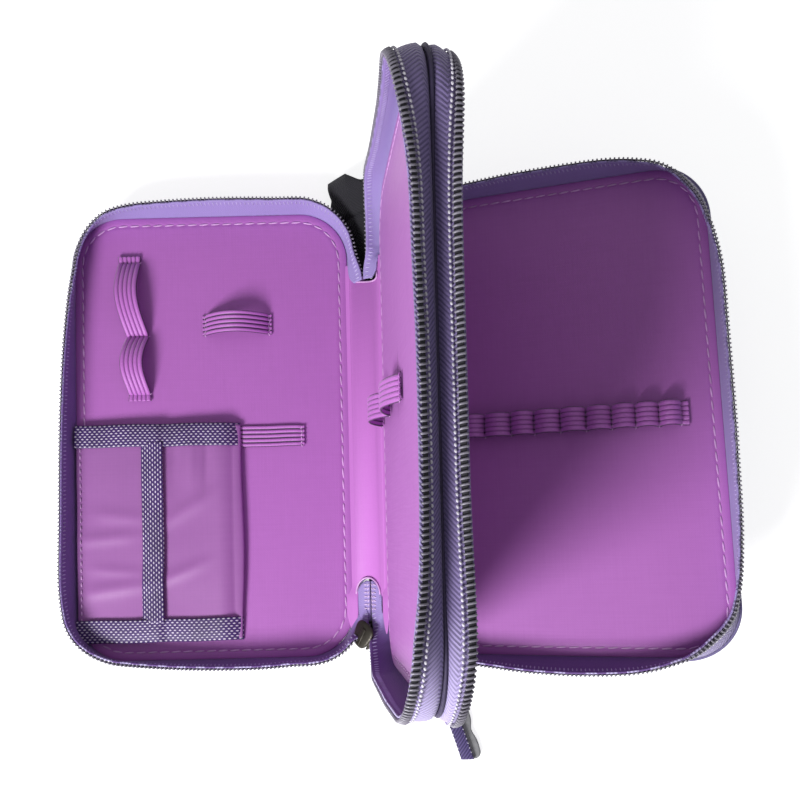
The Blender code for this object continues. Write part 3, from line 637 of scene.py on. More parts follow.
@dataclass(frozen=True)
class WovenFinish(Finish):
    """Plain woven cloth with uneven threads."""

    second: Colour = (0.3, 0.1, 0.35)
    threads: float = 2600.0
    depth: float = 0.00006
    streak: float = 0.5

    def material(self, effects: Effects) -> bpy.types.Material:
        """Make the cloth's material."""
        material, graph, shader = self.start()
        pattern = graph.pattern()
        weave = graph.effect(
            effects.plain_weave, Place=pattern, Across=self.threads, Along=self.threads,
        )
        uneven = graph.span(graph.effect(effects.streaks, Place=pattern), 0.35, 0.65)
        shade = graph.effect(effects.mottle, Place=graph.solid(), Size=1.0)
        blended = graph.weighed(uneven, self.streak, shade, 0.5)
        colour = graph.ramp(blended, 0.2, 0.85, self.second, self.colour)
        rough = graph.span(uneven, 0.0, 1.0, self.roughness + 0.08, self.roughness - 0.05)
        self.finish(
            graph, shader, colour, graph.weighed(weave, 0.6, uneven, 0.4), self.depth, rough,
        )
        return material


@dataclass(frozen=True)
class ElasticFinish(Finish):
    """Ribbed elastic, with painted shade in the grooves between its ribs and a painted highlight on
    the rib tops.
    """

    # Painted shade: near-black colour given to the grooves between the ribs.
    groove: Colour = (0.028, 0.006, 0.042)
    width: float = 0.0095
    ribs: int = 5
    depth: float = 0.00008

    def material(self, effects: Effects) -> bpy.types.Material:
        """Make the elastic's material."""
        material, graph, shader = self.start()
        pattern = graph.pattern()
        across = graph.parts(pattern)[1]
        phase = graph.add(graph.times(across, self.ribs / self.width), self.ribs / 2)
        ridge = graph.math("ABSOLUTE", graph.math("SINE", graph.times(phase, math.pi)))
        weave = graph.effect(effects.plain_weave, Place=pattern, Across=1400.0, Along=3200.0)
        fine = graph.noise(pattern, 1800.0)
        # Painted shade darkens the grooves between the ribs, and a painted highlight lightens the
        # rib tops in patches.
        colour = graph.ramp(ridge, 0.2, 0.65, self.groove, self.colour)
        top = graph.times(graph.span(ridge, 0.85, 1.0), graph.span(fine, 0.35, 0.65))
        colour = graph.mix(top, colour, opaque(toned(self.colour, 1.25)))
        rough = graph.span(fine, 0.3, 0.7, self.roughness - 0.06, self.roughness + 0.08)
        self.finish(
            graph, shader, colour, graph.add(graph.times(weave, 0.5), fine), self.depth, rough,
        )
        return material


@dataclass(frozen=True)
class TapeFinish(Finish):
    """Herringbone zip tape. Optional painted light makes it paler towards the slider's end;
    optional painted shade darkens it towards that end and the left cover's free edge.
    """

    groove: Colour = (0.06, 0.05, 0.12)
    rib: float = 760.0
    column: float = 0.0044
    slope: float = 0.9
    depth: float = 0.00022
    # Painted light: a paler colour that the tape takes towards the slider's end.
    pale: Colour | None = None
    painted_light_below: tuple[float, float] = (-0.054, -0.092)
    # Painted shade: a darker colour that the tape takes towards the slider's end and the left
    # cover's free edge.
    shaded: Colour | None = None
    shaded_below: tuple[float, float] = (-0.076, -0.090)
    shaded_beyond: tuple[float, float] = (-0.040, -0.056)

    def material(self, effects: Effects) -> bpy.types.Material:
        """Make the tape's material."""
        material, graph, shader = self.start()
        pattern, solid = graph.pattern(), graph.solid()
        ribs = graph.effect(
            effects.chevrons, Place=pattern, Rib=self.rib, Column=self.column, Slope=self.slope,
        )
        weave = graph.effect(effects.plain_weave, Place=pattern, Across=3300.0, Along=3300.0)
        shade = graph.effect(effects.mottle, Place=solid, Size=1.4)
        depth = graph.times(graph.add(ribs, shade), 0.6)
        colour = graph.ramp(depth, 0.1, 0.7, self.groove, self.colour)
        x, y, _ = graph.parts(solid)
        # Painted light: the tape grows paler towards the slider's end, the change blurred by the
        # dye's unevenness.
        if self.pale:
            painted_light_share = graph.span(graph.add(y, graph.times(shade, 0.03)), *self.painted_light_below)
            colour = graph.mix(
                painted_light_share, colour, graph.ramp(depth, 0.1, 0.7, toned(self.pale, 0.35), self.pale),
            )
        # Painted shade: the tape darkens towards the slider's end, and by three quarters towards
        # the left cover's free edge.
        if self.shaded:
            left = graph.times(graph.span(x, *self.shaded_beyond), 0.75)
            share = graph.math("MAXIMUM", graph.span(y, *self.shaded_below), left)
            colour = graph.mix(share, colour, opaque(self.shaded))
        self.finish(graph, shader, colour, graph.weighed(ribs, 0.8, weave, 0.2), self.depth)
        return material


@dataclass(frozen=True)
class DottedFinish(Finish):
    """Ribbon with pale woven dots on a dark ground."""

    dot: Colour = (0.75, 0.68, 0.80)
    across: float = 470.0
    along: float = 900.0
    size: float = 0.27
    depth: float = 0.0003

    def material(self, effects: Effects) -> bpy.types.Material:
        """Make the ribbon's material."""
        material, graph, shader = self.start()
        dots = graph.effect(
            effects.dots, Place=graph.pattern(), Across=self.across, Along=self.along,
            Size=self.size,
        )
        shade = graph.effect(effects.mottle, Place=graph.solid(), Size=3.0)
        ground = graph.ramp(shade, 0.35, 0.65, toned(self.colour, 0.6), self.colour)
        pale = graph.ramp(shade, 0.35, 0.7, toned(self.dot, 0.6), self.dot)
        self.finish(graph, shader, graph.mix(dots, ground, pale), dots, self.depth)
        return material


@dataclass(frozen=True)
class ThreadFinish(Finish):
    """Sewing thread, coil, cast metal or moulded rubber with fine unevenness."""

    grain: float = 900.0
    depth: float = 0.00005

    def material(self, effects: Effects) -> bpy.types.Material:
        """Make the material."""
        material, graph, shader = self.start()
        solid = graph.solid()
        shade = graph.effect(effects.mottle, Place=solid, Size=2.0)
        fine = graph.noise(solid, self.grain)
        colour = graph.ramp(shade, 0.3, 0.65, toned(self.colour, 0.55), self.colour)
        rough = graph.span(fine, 0.3, 0.7, self.roughness - 0.08, self.roughness + 0.1)
        self.finish(graph, shader, colour, fine, self.depth, rough)
        return material


@dataclass(frozen=True)
class WebbingFinish(Finish):
    """Webbing with fine diagonal ribs."""

    groove: Colour = (0.01, 0.01, 0.02)
    rib: float = 700.0
    slope: float = 1.0
    depth: float = 0.0002

    def material(self, effects: Effects) -> bpy.types.Material:
        """Make the webbing's material."""
        material, graph, shader = self.start()
        pattern = graph.pattern()
        ribs = graph.effect(
            effects.chevrons, Place=pattern, Rib=self.rib, Column=1.0, Slope=self.slope,
        )
        fine = graph.noise(pattern, 2500.0, 2.0)
        blend = graph.times(ribs, graph.span(fine, 0.2, 0.6, 0.6, 1.0))
        colour = graph.mix(blend, opaque(self.groove), opaque(self.colour))
        self.finish(graph, shader, colour, blend, self.depth)
        return material


class Palette:
    """All finishes of the case, made once."""

    def __init__(self) -> None:
        effects = Effects()
        finishes = (
            WovenFinish(
                "lining_cloth", (0.46, 0.150, 0.515), 0.5, 0.12, second=(0.395, 0.122, 0.445),
                streak=0.18,
            ),
            # Painted light: the lining cloth again, made lighter for the strips and their creases,
            # which face the light.
            WovenFinish(
                "lining_cloth_painted_light", (0.525, 0.176, 0.565), 0.6, 0.12, second=(0.50, 0.16, 0.54),
                streak=0.18,
            ),
            ElasticFinish("elastic_cloth", (0.42, 0.13, 0.47), 0.5, 0.25),
            WovenFinish(
                "pocket_satin", (0.365, 0.142, 0.40), 0.42, 0.2, second=(0.305, 0.110, 0.345),
                threads=4200.0, depth=0.00002, streak=0.2,
            ),
            WovenFinish(
                "shell_cloth", (0.21, 0.17, 0.36), 0.6, 0.3, second=(0.14, 0.115, 0.25),
                threads=1100.0, depth=0.00014,
            ),
            # Painted shade: tape_inside darkens towards the slider's end and the left cover's free
            # edge.
            TapeFinish(
                "tape_inside", (0.33, 0.255, 0.56), 0.65, 0.2, groove=(0.26, 0.19, 0.45),
                rib=1300.0, column=0.0016, depth=0.00008, shaded=(0.135, 0.062, 0.25),
            ),
            # Painted light: tape_outside grows paler towards the slider's end.
            TapeFinish(
                "tape_outside", (0.23, 0.175, 0.38), 0.6, 0.2, groove=(0.065, 0.047, 0.130),
                rib=640.0, pale=(0.54, 0.46, 0.78),
            ),
            DottedFinish("dotted_ribbon", (0.052, 0.016, 0.14), 0.6, 0.2, dot=(0.80, 0.72, 0.88)),
            # The coil's light grey is partly its own dark colour and partly a painted highlight on
            # its turns.
            ThreadFinish("coil_nylon", (0.27, 0.25, 0.31), 0.34),
            ThreadFinish("core_cord", (0.022, 0.020, 0.028), 0.7),
            ThreadFinish("pale_thread", (0.66, 0.50, 0.74), 0.5),
            ThreadFinish("white_thread", (0.80, 0.76, 0.86), 0.5),
            ThreadFinish("pink_thread", (0.74, 0.42, 0.78), 0.5),
            ThreadFinish("tape_thread", (0.56, 0.49, 0.78), 0.5),
            ThreadFinish("dark_thread", (0.10, 0.03, 0.16), 0.6),
            ThreadFinish("dark_metal", (0.05, 0.043, 0.034), 0.38, 0.0, 0.6, grain=2200.0),
            ThreadFinish("grey_rubber", (0.32, 0.32, 0.33), 0.5),
            ThreadFinish("seam_cloth", (0.055, 0.04, 0.10), 0.7),
            ThreadFinish("foam_board", (0.45, 0.42, 0.38), 0.9),
            WebbingFinish(
                "black_webbing", (0.0095, 0.0085, 0.0145), 0.8, 0.05, groove=(0.005, 0.0045, 0.008),
            ),
            WebbingFinish(
                "pull_webbing", (0.11, 0.075, 0.24), 0.55, 0.2, groove=(0.03, 0.02, 0.09),
            ),
        )
        self.materials = {finish.name: finish.material(effects) for finish in finishes}

    def dress(self, obj: Object, *names: str) -> None:
        """Give an object its finishes in slot order."""
        if obj.data.materials:
            obj.data.materials.clear()
        for name in names:
            obj.data.materials.append(self.materials[name])


# Frames of the leaves, worked out from the joints.


class Body(Enum):
    """Moving bodies of the case."""

    DIVIDER = "divider"
    LEFT_SPINE = "left_spine"
    LEFT_COVER = "left_cover"
    RIGHT_SPINE = "right_spine"
    RIGHT_COVER = "right_cover"
    POCKET = "pocket_flap"
    LEFT_SLIDER = "left_slider"
    RIGHT_SLIDER = "right_slider"
    LEFT_PULL = "left_pull"
    RIGHT_PULL = "right_pull"


@dataclass(frozen=True)
class LeafFrame:
    """Frame of one leaf: its fold line, its direction away from it and its inner face."""

    origin: Vector
    along: Vector
    facing: Vector
    body: Body
    narrowing: float = 0.0
    lengthening: float = 0.0

    def world(self, u: Array, y: Array, n: Array, direction: bool = False) -> Array:
        """World places, or directions, of leaf coordinates.

        Args:
            u: Distances from the fold.
            y: Places along the fold.
            n: Heights above the inner face.
            direction: Whether they are directions.

        Returns:
            World places or directions.
        """
        u, y, n = np.broadcast_arrays(u, y, n)
        if not direction:
            narrow = 1.0 - self.narrowing * np.clip(y, -0.3, 1.0)
            u, y = u * narrow, y * (1.0 + self.lengthening * (y > 0))
        spot = u[..., None] * np.array(self.along) + n[..., None] * np.array(self.facing)
        spot[..., 1] += y
        return spot if direction else spot + np.array(self.origin)

    def beside(self, spot: Array, out: Array, offset: Array, level: Array) -> Array:
        """World places beside a path in the leaf, by outward offsets and heights."""
        return self.world(
            spot[:, :1] + offset * out[:, :1], spot[:, 1:] + offset * out[:, 1:], level,
        )

    def matrix(self, u: float, y: float, n: float) -> Matrix:
        """Matrix with X along u, Y along the fold and Z along n at a place."""
        made = Matrix.Identity(4)
        axes = (self.along, (0.0, 1.0, 0.0), self.facing)
        for column, values in enumerate((*axes, self.world(u, y, n))):
            made.col[column].xyz = values
        return made


class CaseFrames:
    """Frames of all leaves and strips at rest."""

    def __init__(self, joints: Sequence[dict]) -> None:
        spot = {joint["name"]: Vector(joint["pos_m"]) for joint in joints if "pos_m" in joint}
        left, right = spot["left_spine_fold"], spot["right_spine_fold"]
        across = (right - left).normalized()
        up = Vector((-across.z, 0.0, across.x))
        self.divider_left = LeafFrame(left, up, -across, Body.DIVIDER)
        self.divider_right = LeafFrame(right, up, across, Body.DIVIDER)
        self.left_strip, self.left_cover, self.left_width = self.side(
            left, spot["left_cover_fold"], up, 1.0, (Body.LEFT_SPINE, Body.LEFT_COVER), (0.0, 0.0),
        )
        self.right_strip, self.right_cover, self.right_width = self.side(
            right, spot["right_cover_fold"], up, -1.0, (Body.RIGHT_SPINE, Body.RIGHT_COVER),
            (0.33, 0.03),
        )

    @staticmethod
    def side(
        start: Vector, fold: Vector, up: Vector, turn: float, bodies: tuple[Body, Body],
        taper: tuple[float, float],
    ) -> tuple[LeafFrame, LeafFrame, float]:
        """Work out one side's strip and cover, which leave the divider mirrored in the strip.

        Args:
            start: Fold between the divider and the strip.
            fold: Fold between the strip and the cover.
            up: Direction of the divider.
            turn: 1 on the left side, -1 on the right side.
            bodies: Bodies of the strip and the cover.
            taper: Narrowing and lengthening of the cover.

        Returns:
            The strip's frame, the cover's frame and the strip's width.
        """
        strip = (fold - start).normalized()
        leaf = up - 2.0 * up.dot(strip) * strip
        facing = [Vector((turn * way.z, 0.0, -turn * way.x)) for way in (strip, leaf)]
        cover = LeafFrame(fold, leaf, facing[1], bodies[1], *taper)
        return LeafFrame(start, strip, facing[0], bodies[0]), cover, (fold - start).length


@dataclass(frozen=True)
class LeafSize:
    """Sizes that all leaves share."""

    half_length: float = 0.098
    width: float = 0.121
    radius: float = 0.021
    gap: float = 0.0003
    cloth: float = 0.0008
    rim_start: float = 0.0756


def round_box(u_low: float, u_high: float, half: float, radius: float) -> Array:
    """Points round a box with round corners, anticlockwise from the upper free corner.

    Args:
        u_low: Edge at the fold.
        u_high: Free edge.
        half: Half of the length along y.
        radius: Corner radius.

    Returns:
        Points by (u, y).
    """
    radius = max(radius, 1e-5)
    corners = ((u_high, 1, 0), (u_low, 1, 1), (u_low, -1, 2), (u_high, -1, 3))

    def centre(u: float, y: int) -> Array:
        return np.array([u + (radius if u == u_low else -radius), y * (half - radius)])

    points = []
    for index, (u, y, quarter) in enumerate(corners):
        turn = math.pi / 2 * (quarter + np.arange(CORNER_STEPS + 1) / CORNER_STEPS)
        arc = centre(u, y) + radius * np.stack([np.cos(turn), np.sin(turn)], axis=1)
        points.append(arc)
        *place, quarter = corners[(index + 1) % 4]
        turn = math.pi / 2 * quarter
        start = centre(*place) + radius * np.array([math.cos(turn), math.sin(turn)])
        steps = SHORT_STEPS if index % 2 == 0 else LONG_STEPS
        share = (np.arange(1, steps) / steps)[:, None]
        points.append(arc[-1] * (1 - share) + start * share)
    return np.concatenate(points)


@dataclass
class Rim:
    """Path of the zip round three sides of a leaf, from the lower to the upper zip end."""

    size: LeafSize = field(default_factory=LeafSize)
    fine: float = 0.0002

    def __post_init__(self) -> None:
        """Tabulate the path and its outward direction."""
        size = self.size
        radius, high = size.radius, size.half_length
        reach, free = high - radius, size.width - radius
        parts = (
            ((0.0, -size.rim_start), (0.0, -reach), math.pi),
            ((radius, -reach), None, math.pi),
            ((radius, -high), (free, -high), 1.5 * math.pi),
            ((free, -reach), None, 1.5 * math.pi),
            ((size.width, -reach), (size.width, reach), 2 * math.pi),
            ((free, reach), None, 2 * math.pi),
            ((free, high), (radius, high), 2.5 * math.pi),
            ((radius, reach), None, 2.5 * math.pi),
            ((0.0, reach), (0.0, size.rim_start), 3 * math.pi),
        )
        rows = []
        for (u, y), last, turn in parts:
            if last is None:
                for angle in np.arange(turn, turn + math.pi / 2, self.fine / radius):
                    rows.append((u + radius * math.cos(angle), y + radius * math.sin(angle), angle))
            else:
                length = math.dist((u, y), last)
                for share in np.arange(0.0, length, self.fine) / length:
                    rows.append((u + (last[0] - u) * share, y + (last[1] - y) * share, turn))
        self.table = np.array(rows)
        self.run = run_along(self.table[:, :2])
        self.length = float(self.run[-1])

    def at(self, run: Array) -> tuple[Array, Array]:
        """Points and outward directions at distances along the path."""
        u, y, angle = (np.interp(run, self.run, self.table[:, k]) for k in range(3))
        return np.stack([u, y], axis=-1), np.stack([np.cos(angle), np.sin(angle)], axis=-1)

    def run_at(self, y: float) -> float:
        """Distance along the path where the spine-side corner reaches y."""
        half = len(self.run) // 2
        if y < 0:
            first = self.table[:half, 1]
            return float(self.run[:half][np.argmax(first <= y)])
        last = self.table[half:, 1]
        keep = np.nonzero(last >= y)[0][-1]
        return float(self.run[half:][keep])


@dataclass
class TapeRun:
    """A run of zip tape as cross-sections from its toothed edge to its sewn edge."""

    sections: Array
    outward: Array

    def __post_init__(self) -> None:
        """Space the sections evenly and find the tape's outer normals."""
        self.sections = even_sections(self.sections)
        self.run = run_along(self.sections[:, 0])
        self.length = float(self.run[-1])
        self.width = np.linalg.norm(np.diff(self.sections, axis=1), axis=2).sum(axis=1)
        normal = unit(
            np.cross(np.gradient(self.sections, axis=0), np.gradient(self.sections, axis=1))
        )
        self.normal = normal * np.sign(np.sum(normal * self.outward[:, None]))

    def blend(self, grid: Array, run: Array, depth: Array) -> Array:
        """Value of a grid over the tape at distances along and below its toothed edge."""
        station = np.interp(run, self.run, np.arange(len(self.run)))
        first = np.clip(station.astype(int), 0, len(self.run) - 2)
        part = (station - first)[..., None]
        count = self.sections.shape[1] - 1
        column = np.clip(depth / np.interp(run, self.run, self.width), -0.1, 1.0) * count
        second = np.clip(column.astype(int), 0, count - 1)
        share = (column - second)[..., None]
        near = grid[first, second] * (1 - share) + grid[first, second + 1] * share
        far = grid[first + 1, second] * (1 - share) + grid[first + 1, second + 1] * share
        return near * (1 - part) + far * part

    def place(self, run: Array, depth: Array, lift: Array | float = 0.0) -> Array:
        """Places on the tape, or off it by a lift along its outer normal."""
        lift = np.asarray(lift)[..., None]
        return self.blend(self.sections, run, depth) + self.blend(self.normal, run, depth) * lift

    def frames(self, run: Array, depth: float, lift: float, slant: float = 0.0) -> Array:
        """Matrices on the tape with X along it, Y towards its toothed edge and Z outwards."""
        step = 0.0004
        level = np.full(run.shape, depth)
        ahead = unit(self.place(run + step, level, lift) - self.place(run - step, level, lift))
        out = self.blend(self.normal, run, level)
        out = unit(out - ahead * np.sum(out * ahead, axis=-1, keepdims=True))
        turned = ahead * math.cos(slant) + np.cross(out, ahead) * math.sin(slant)
        return matrices((turned, np.cross(out, turned), out), self.place(run, level, lift))


# Parts that repeat along the zips and seams.


@dataclass
class ZipKit:
    """Sizes of the zip, and its tape, coil and sewing thread along a run."""

    pitch: float = 0.00172
    tape: float = 0.0007
    coil_width: float = 0.0032
    coil_height: float = 0.0016
    filament: float = 0.00040
    head: float = 0.0003
    outer_stitch: tuple[float, float, float] = (0.0012, 0.0009, 0.0008)
    outer_depth: float = 0.0035
    outer_slant: float = 0.35
    inner_stitch: tuple[float, float, float] = (0.0022, 0.00055, 0.00045)
    inner_depth: float = 0.0022
    slant: float = math.radians(9.0)

    def coil_turn(self) -> Object:
        """Model one turn of the nylon coil: a ring drawn out to a flat loop."""
        radius = self.coil_height / 2 - self.filament
        clear_selection()
        bpy.ops.mesh.primitive_torus_add(
            major_segments=10, minor_segments=6, major_radius=radius, minor_radius=self.filament,
            rotation=(0.0, math.pi / 2, 0.0),
        )
        turn = bpy.context.object
        settle_place(turn)
        stretch = (self.coil_width - self.coil_height) / 2
        for side in (-1.0, 1.0):
            pick(turn, lambda spot, side=side: spot.y * side > 1e-6)
            bpy.ops.transform.translate(value=(0.0, side * stretch, 0.0))
            leave_edit()
        return turn

    def dash(self, length: float, width: float, height: float) -> Object:
        """Model one stitch: a ball drawn out along X."""
        clear_selection()
        bpy.ops.mesh.primitive_uv_sphere_add(
            segments=8, ring_count=6, radius=0.5, rotation=(0.0, math.pi / 2, 0.0),
        )
        made = bpy.context.object
        made.scale = (height, width, length)
        settle_place(made)
        return made

    def sheet(self, name: str, run: TapeRun, rows: int = 12) -> Object:
        """Build the tape itself along a run."""
        along = np.linspace(0.0, run.length, max(6, int(run.length / 0.0009)))
        depth = np.interp(along, run.run, run.width)[:, None] * np.linspace(0.0, 1.0, rows)
        grid = np.repeat(along[:, None], rows, axis=1)
        tape = thicken(
            surface(name, run.place(grid, depth), np.stack([grid, depth], axis=-1)), self.tape,
        )
        paint_outer_face(tape, run)
        return tape

    def stations(self, run: TapeRun) -> Array:
        """Distances of the coil's turns along a run."""
        count = int(run.length / self.pitch)
        spare = run.length - count * self.pitch
        return spare / 2 + self.pitch * (np.arange(count) + 0.5)

    def coil(self, name: str, run: TapeRun, palette: Palette) -> Object:
        """Lay the coil's turns along a run, round their filler cord."""
        lift = self.tape / 2 + self.coil_height / 2
        depth = self.coil_width / 2 - self.head
        turns = scatter(
            name, self.coil_turn(), run.frames(self.stations(run), depth, lift, self.slant),
        )
        along = np.linspace(0.0, run.length, max(8, int(run.length / 0.0015)))
        turn = full_turn(10)
        inset = 1.7 * self.filament
        section = (
            depth + (self.coil_width / 2 - inset) * np.cos(turn),
            lift + (self.coil_height / 2 - inset) * np.sin(turn),
        )
        grid = np.repeat(along[:, None], len(turn), axis=1)
        levels, lifts = (np.repeat(values[None, :], len(along), axis=0) for values in section)
        marks = pairs(along, np.linspace(0.0, 0.008, 11))
        core = solid_through(f"{name}_core", run.place(grid, levels, lifts), marks)
        core.data.polygons.foreach_set("material_index", np.ones(len(core.data.polygons), np.int32))
        for part in (turns, core):
            palette.dress(part, "coil_nylon", "core_cord")
        return join(name, [turns, core])

    def outer_threads(self, name: str, run: TapeRun) -> Object:
        """Lay the sewing thread that holds the coil, outside."""
        spots = self.stations(run) + self.pitch / 2
        lift = self.tape / 2 + self.coil_height * 0.45
        places = run.frames(spots, self.outer_depth, lift, self.outer_slant)
        return scatter(name, self.dash(*self.outer_stitch), places)

    def inner_ticks(self, name: str, run: TapeRun) -> Object:
        """Lay the short stitches that show on the tape's inner face."""
        places = run.frames(
            self.stations(run), self.inner_depth, -self.tape / 2, math.pi / 2 - self.slant,
        )
        return scatter(name, self.dash(*self.inner_stitch), places)


@dataclass
class Wall:
    """Shape of the tape wall that stands round a leaf."""

    leaf: LeafFrame
    full: float
    inner: float
    base: float
    flare: float = 0.0025
    low: tuple[float, float] = (0.85, 0.62)
    end_flares: tuple[float, float] = (0.0025, 0.0010)
    rise_length: float = 0.034
    bulge: float = 0.0
    lean: float = 0.0
    lean_width: float = 0.17
    edge: tuple[tuple[float, float, float, float], ...] = ((0.0, 0.0, 0.0, 0.0),)
    wave: float = 0.0003
    seed: float = 1.0
    steps: int = 17

    @property
    def foot(self) -> float:
        """Distance of the wall's foot outside the rim."""
        return self.inner + 0.00045

    def keyed(self, share: Array) -> Array:
        """Shape of the wall along the rim.

        Args:
            share: Shares of the rim's length.

        Returns:
            Outward shift of the toothed edge, drop of its height and outward shift of its foot.
        """
        table = np.array(self.edge)
        soft = np.hanning(25) / np.hanning(25).sum()
        values = [np.interp(share, table[:, 0], table[:, k] / 1000) for k in (1, 2, 3)]
        return np.stack(
            [np.convolve(np.pad(value, 12, mode="edge"), soft, "valid") for value in values]
        )

    def run(self, rim: Rim, start: float, end: float, step: float = 0.001) -> TapeRun:
        """Make the tape run between two distances along the rim."""
        along = np.linspace(start, end, max(8, int((end - start) / step)))
        spot, out = rim.at(along)
        share = along / rim.length
        shift, drop, puff = self.keyed(share)
        nearby = [1 - ease(run / self.rise_length) for run in (along - start, end - along)]
        full = self.full * (
            1 - (1 - self.low[0]) * nearby[0] - (1 - self.low[1]) * nearby[1]
        ) - drop
        reach = self.flare
        for flare, near in zip(self.end_flares, nearby):
            reach = reach + (flare - self.flare) * near
        reach = reach + self.wave * ripple(along, along * 0, 0.05, self.seed) + shift
        tilt = self.lean * np.exp(-(((share - 0.5) / self.lean_width) ** 4))
        top = (
            self.foot + reach * np.cos(tilt) + full * np.sin(tilt),
            full * np.cos(tilt) - reach * np.sin(tilt),
        )
        base = (self.foot + puff, np.full(len(along), self.base))
        bend = ((top[0] + base[0]) / 2 + self.bulge * 2, (top[1] + base[1]) / 2)
        s = np.linspace(0.0, 1.0, self.steps)
        shares = ((1 - s) ** 2, 2 * s * (1 - s), s ** 2)
        offset, level = (
            shares[0] * high[:, None] + shares[1] * middle[:, None] + shares[2] * low[:, None]
            for high, middle, low in zip(top, bend, base)
        )
        turned_in = (puff + 1.8 * self.inner)[:, None] * np.clip((s - 0.8) / 0.2, 0.0, 1.0) ** 2
        sections = self.leaf.beside(spot, out, offset - turned_in, level)
        return TapeRun(sections, self.leaf.world(out[:, 0], out[:, 1], 0.0, True))


def smooth_path(points: Array, count: int, rounds: int = 3) -> Array:
    """Even points on a rounded version of a polyline.

    Args:
        points: Corner points of the path.
        count: Number of points wanted.
        rounds: How often corners are cut.

    Returns:
        Points spaced evenly along the rounded path.
    """
    path = np.asarray(points, float)
    for _ in range(rounds):
        near = path[:-1] * 0.75 + path[1:] * 0.25
        far = path[:-1] * 0.25 + path[1:] * 0.75
        middle = np.stack([near, far], axis=1).reshape(-1, 3)
        path = np.concatenate([path[:1], middle, path[-1:]])
    run = run_along(path)
    even = np.linspace(0.0, run[-1], count)
    return np.stack([np.interp(even, run, path[:, k]) for k in range(3)], axis=-1)


def stand_for(obj: Object, nodes: Sequence[str]) -> None:
    """Hide the solids that a piece stands for and log its face count."""
    if nodes:
        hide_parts(*nodes)
    LOG.info("%s: %d faces", obj.name, len(obj.data.polygons))


def finish_piece(obj: Object, body: Body, slot: str, *nodes: str) -> None:
    """Tie a piece to its body and hide the solids it stands for."""
    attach(obj, body.value)
    stand_for(obj, nodes)


def finish_bend(
    obj: Object, bodies: tuple[Body, Body], ends: tuple[Array, Array], slot: str, *nodes: str,
) -> None:
    """Write a piece's place into its mesh and hide the solids it stands for."""
    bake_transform(obj)
    stand_for(obj, nodes)


# Leaves. Rows of a panel's section are pairs of inset and height in millimetres.


LINING_ROWS = (
    (4.0, -0.8), (-0.1, -0.8), (-0.6, -0.72), (-0.6, -0.25), (-0.2, -0.05), (0.7, 0.08),
    (1.7, 0.10), (2.3, 0.05), (2.7, -0.08), (3.1, -0.2), (3.5, -0.08), (3.9, 0.04), (4.6, 0.10),
    (5.6, 0.06), (7.5, 0.03), (10, 0.0), (14, 0.0), (19, 0.0), (25, 0.0), (32, 0.0), (40, 0.0),
    (48, 0.0), (55, 0.0),
)
SHELL_ROWS = (
    (6.0, -1.1), (0.8, -1.1), (-0.7, -1.15), (-1.15, -1.5), (-1.32, -2.4), (-1.36, -3.6),
    (-1.28, -4.8), (-1.0, -5.8), (-0.45, -6.5), (0.5, -6.9), (2.0, -7.0), (9.0, -7.0),
)


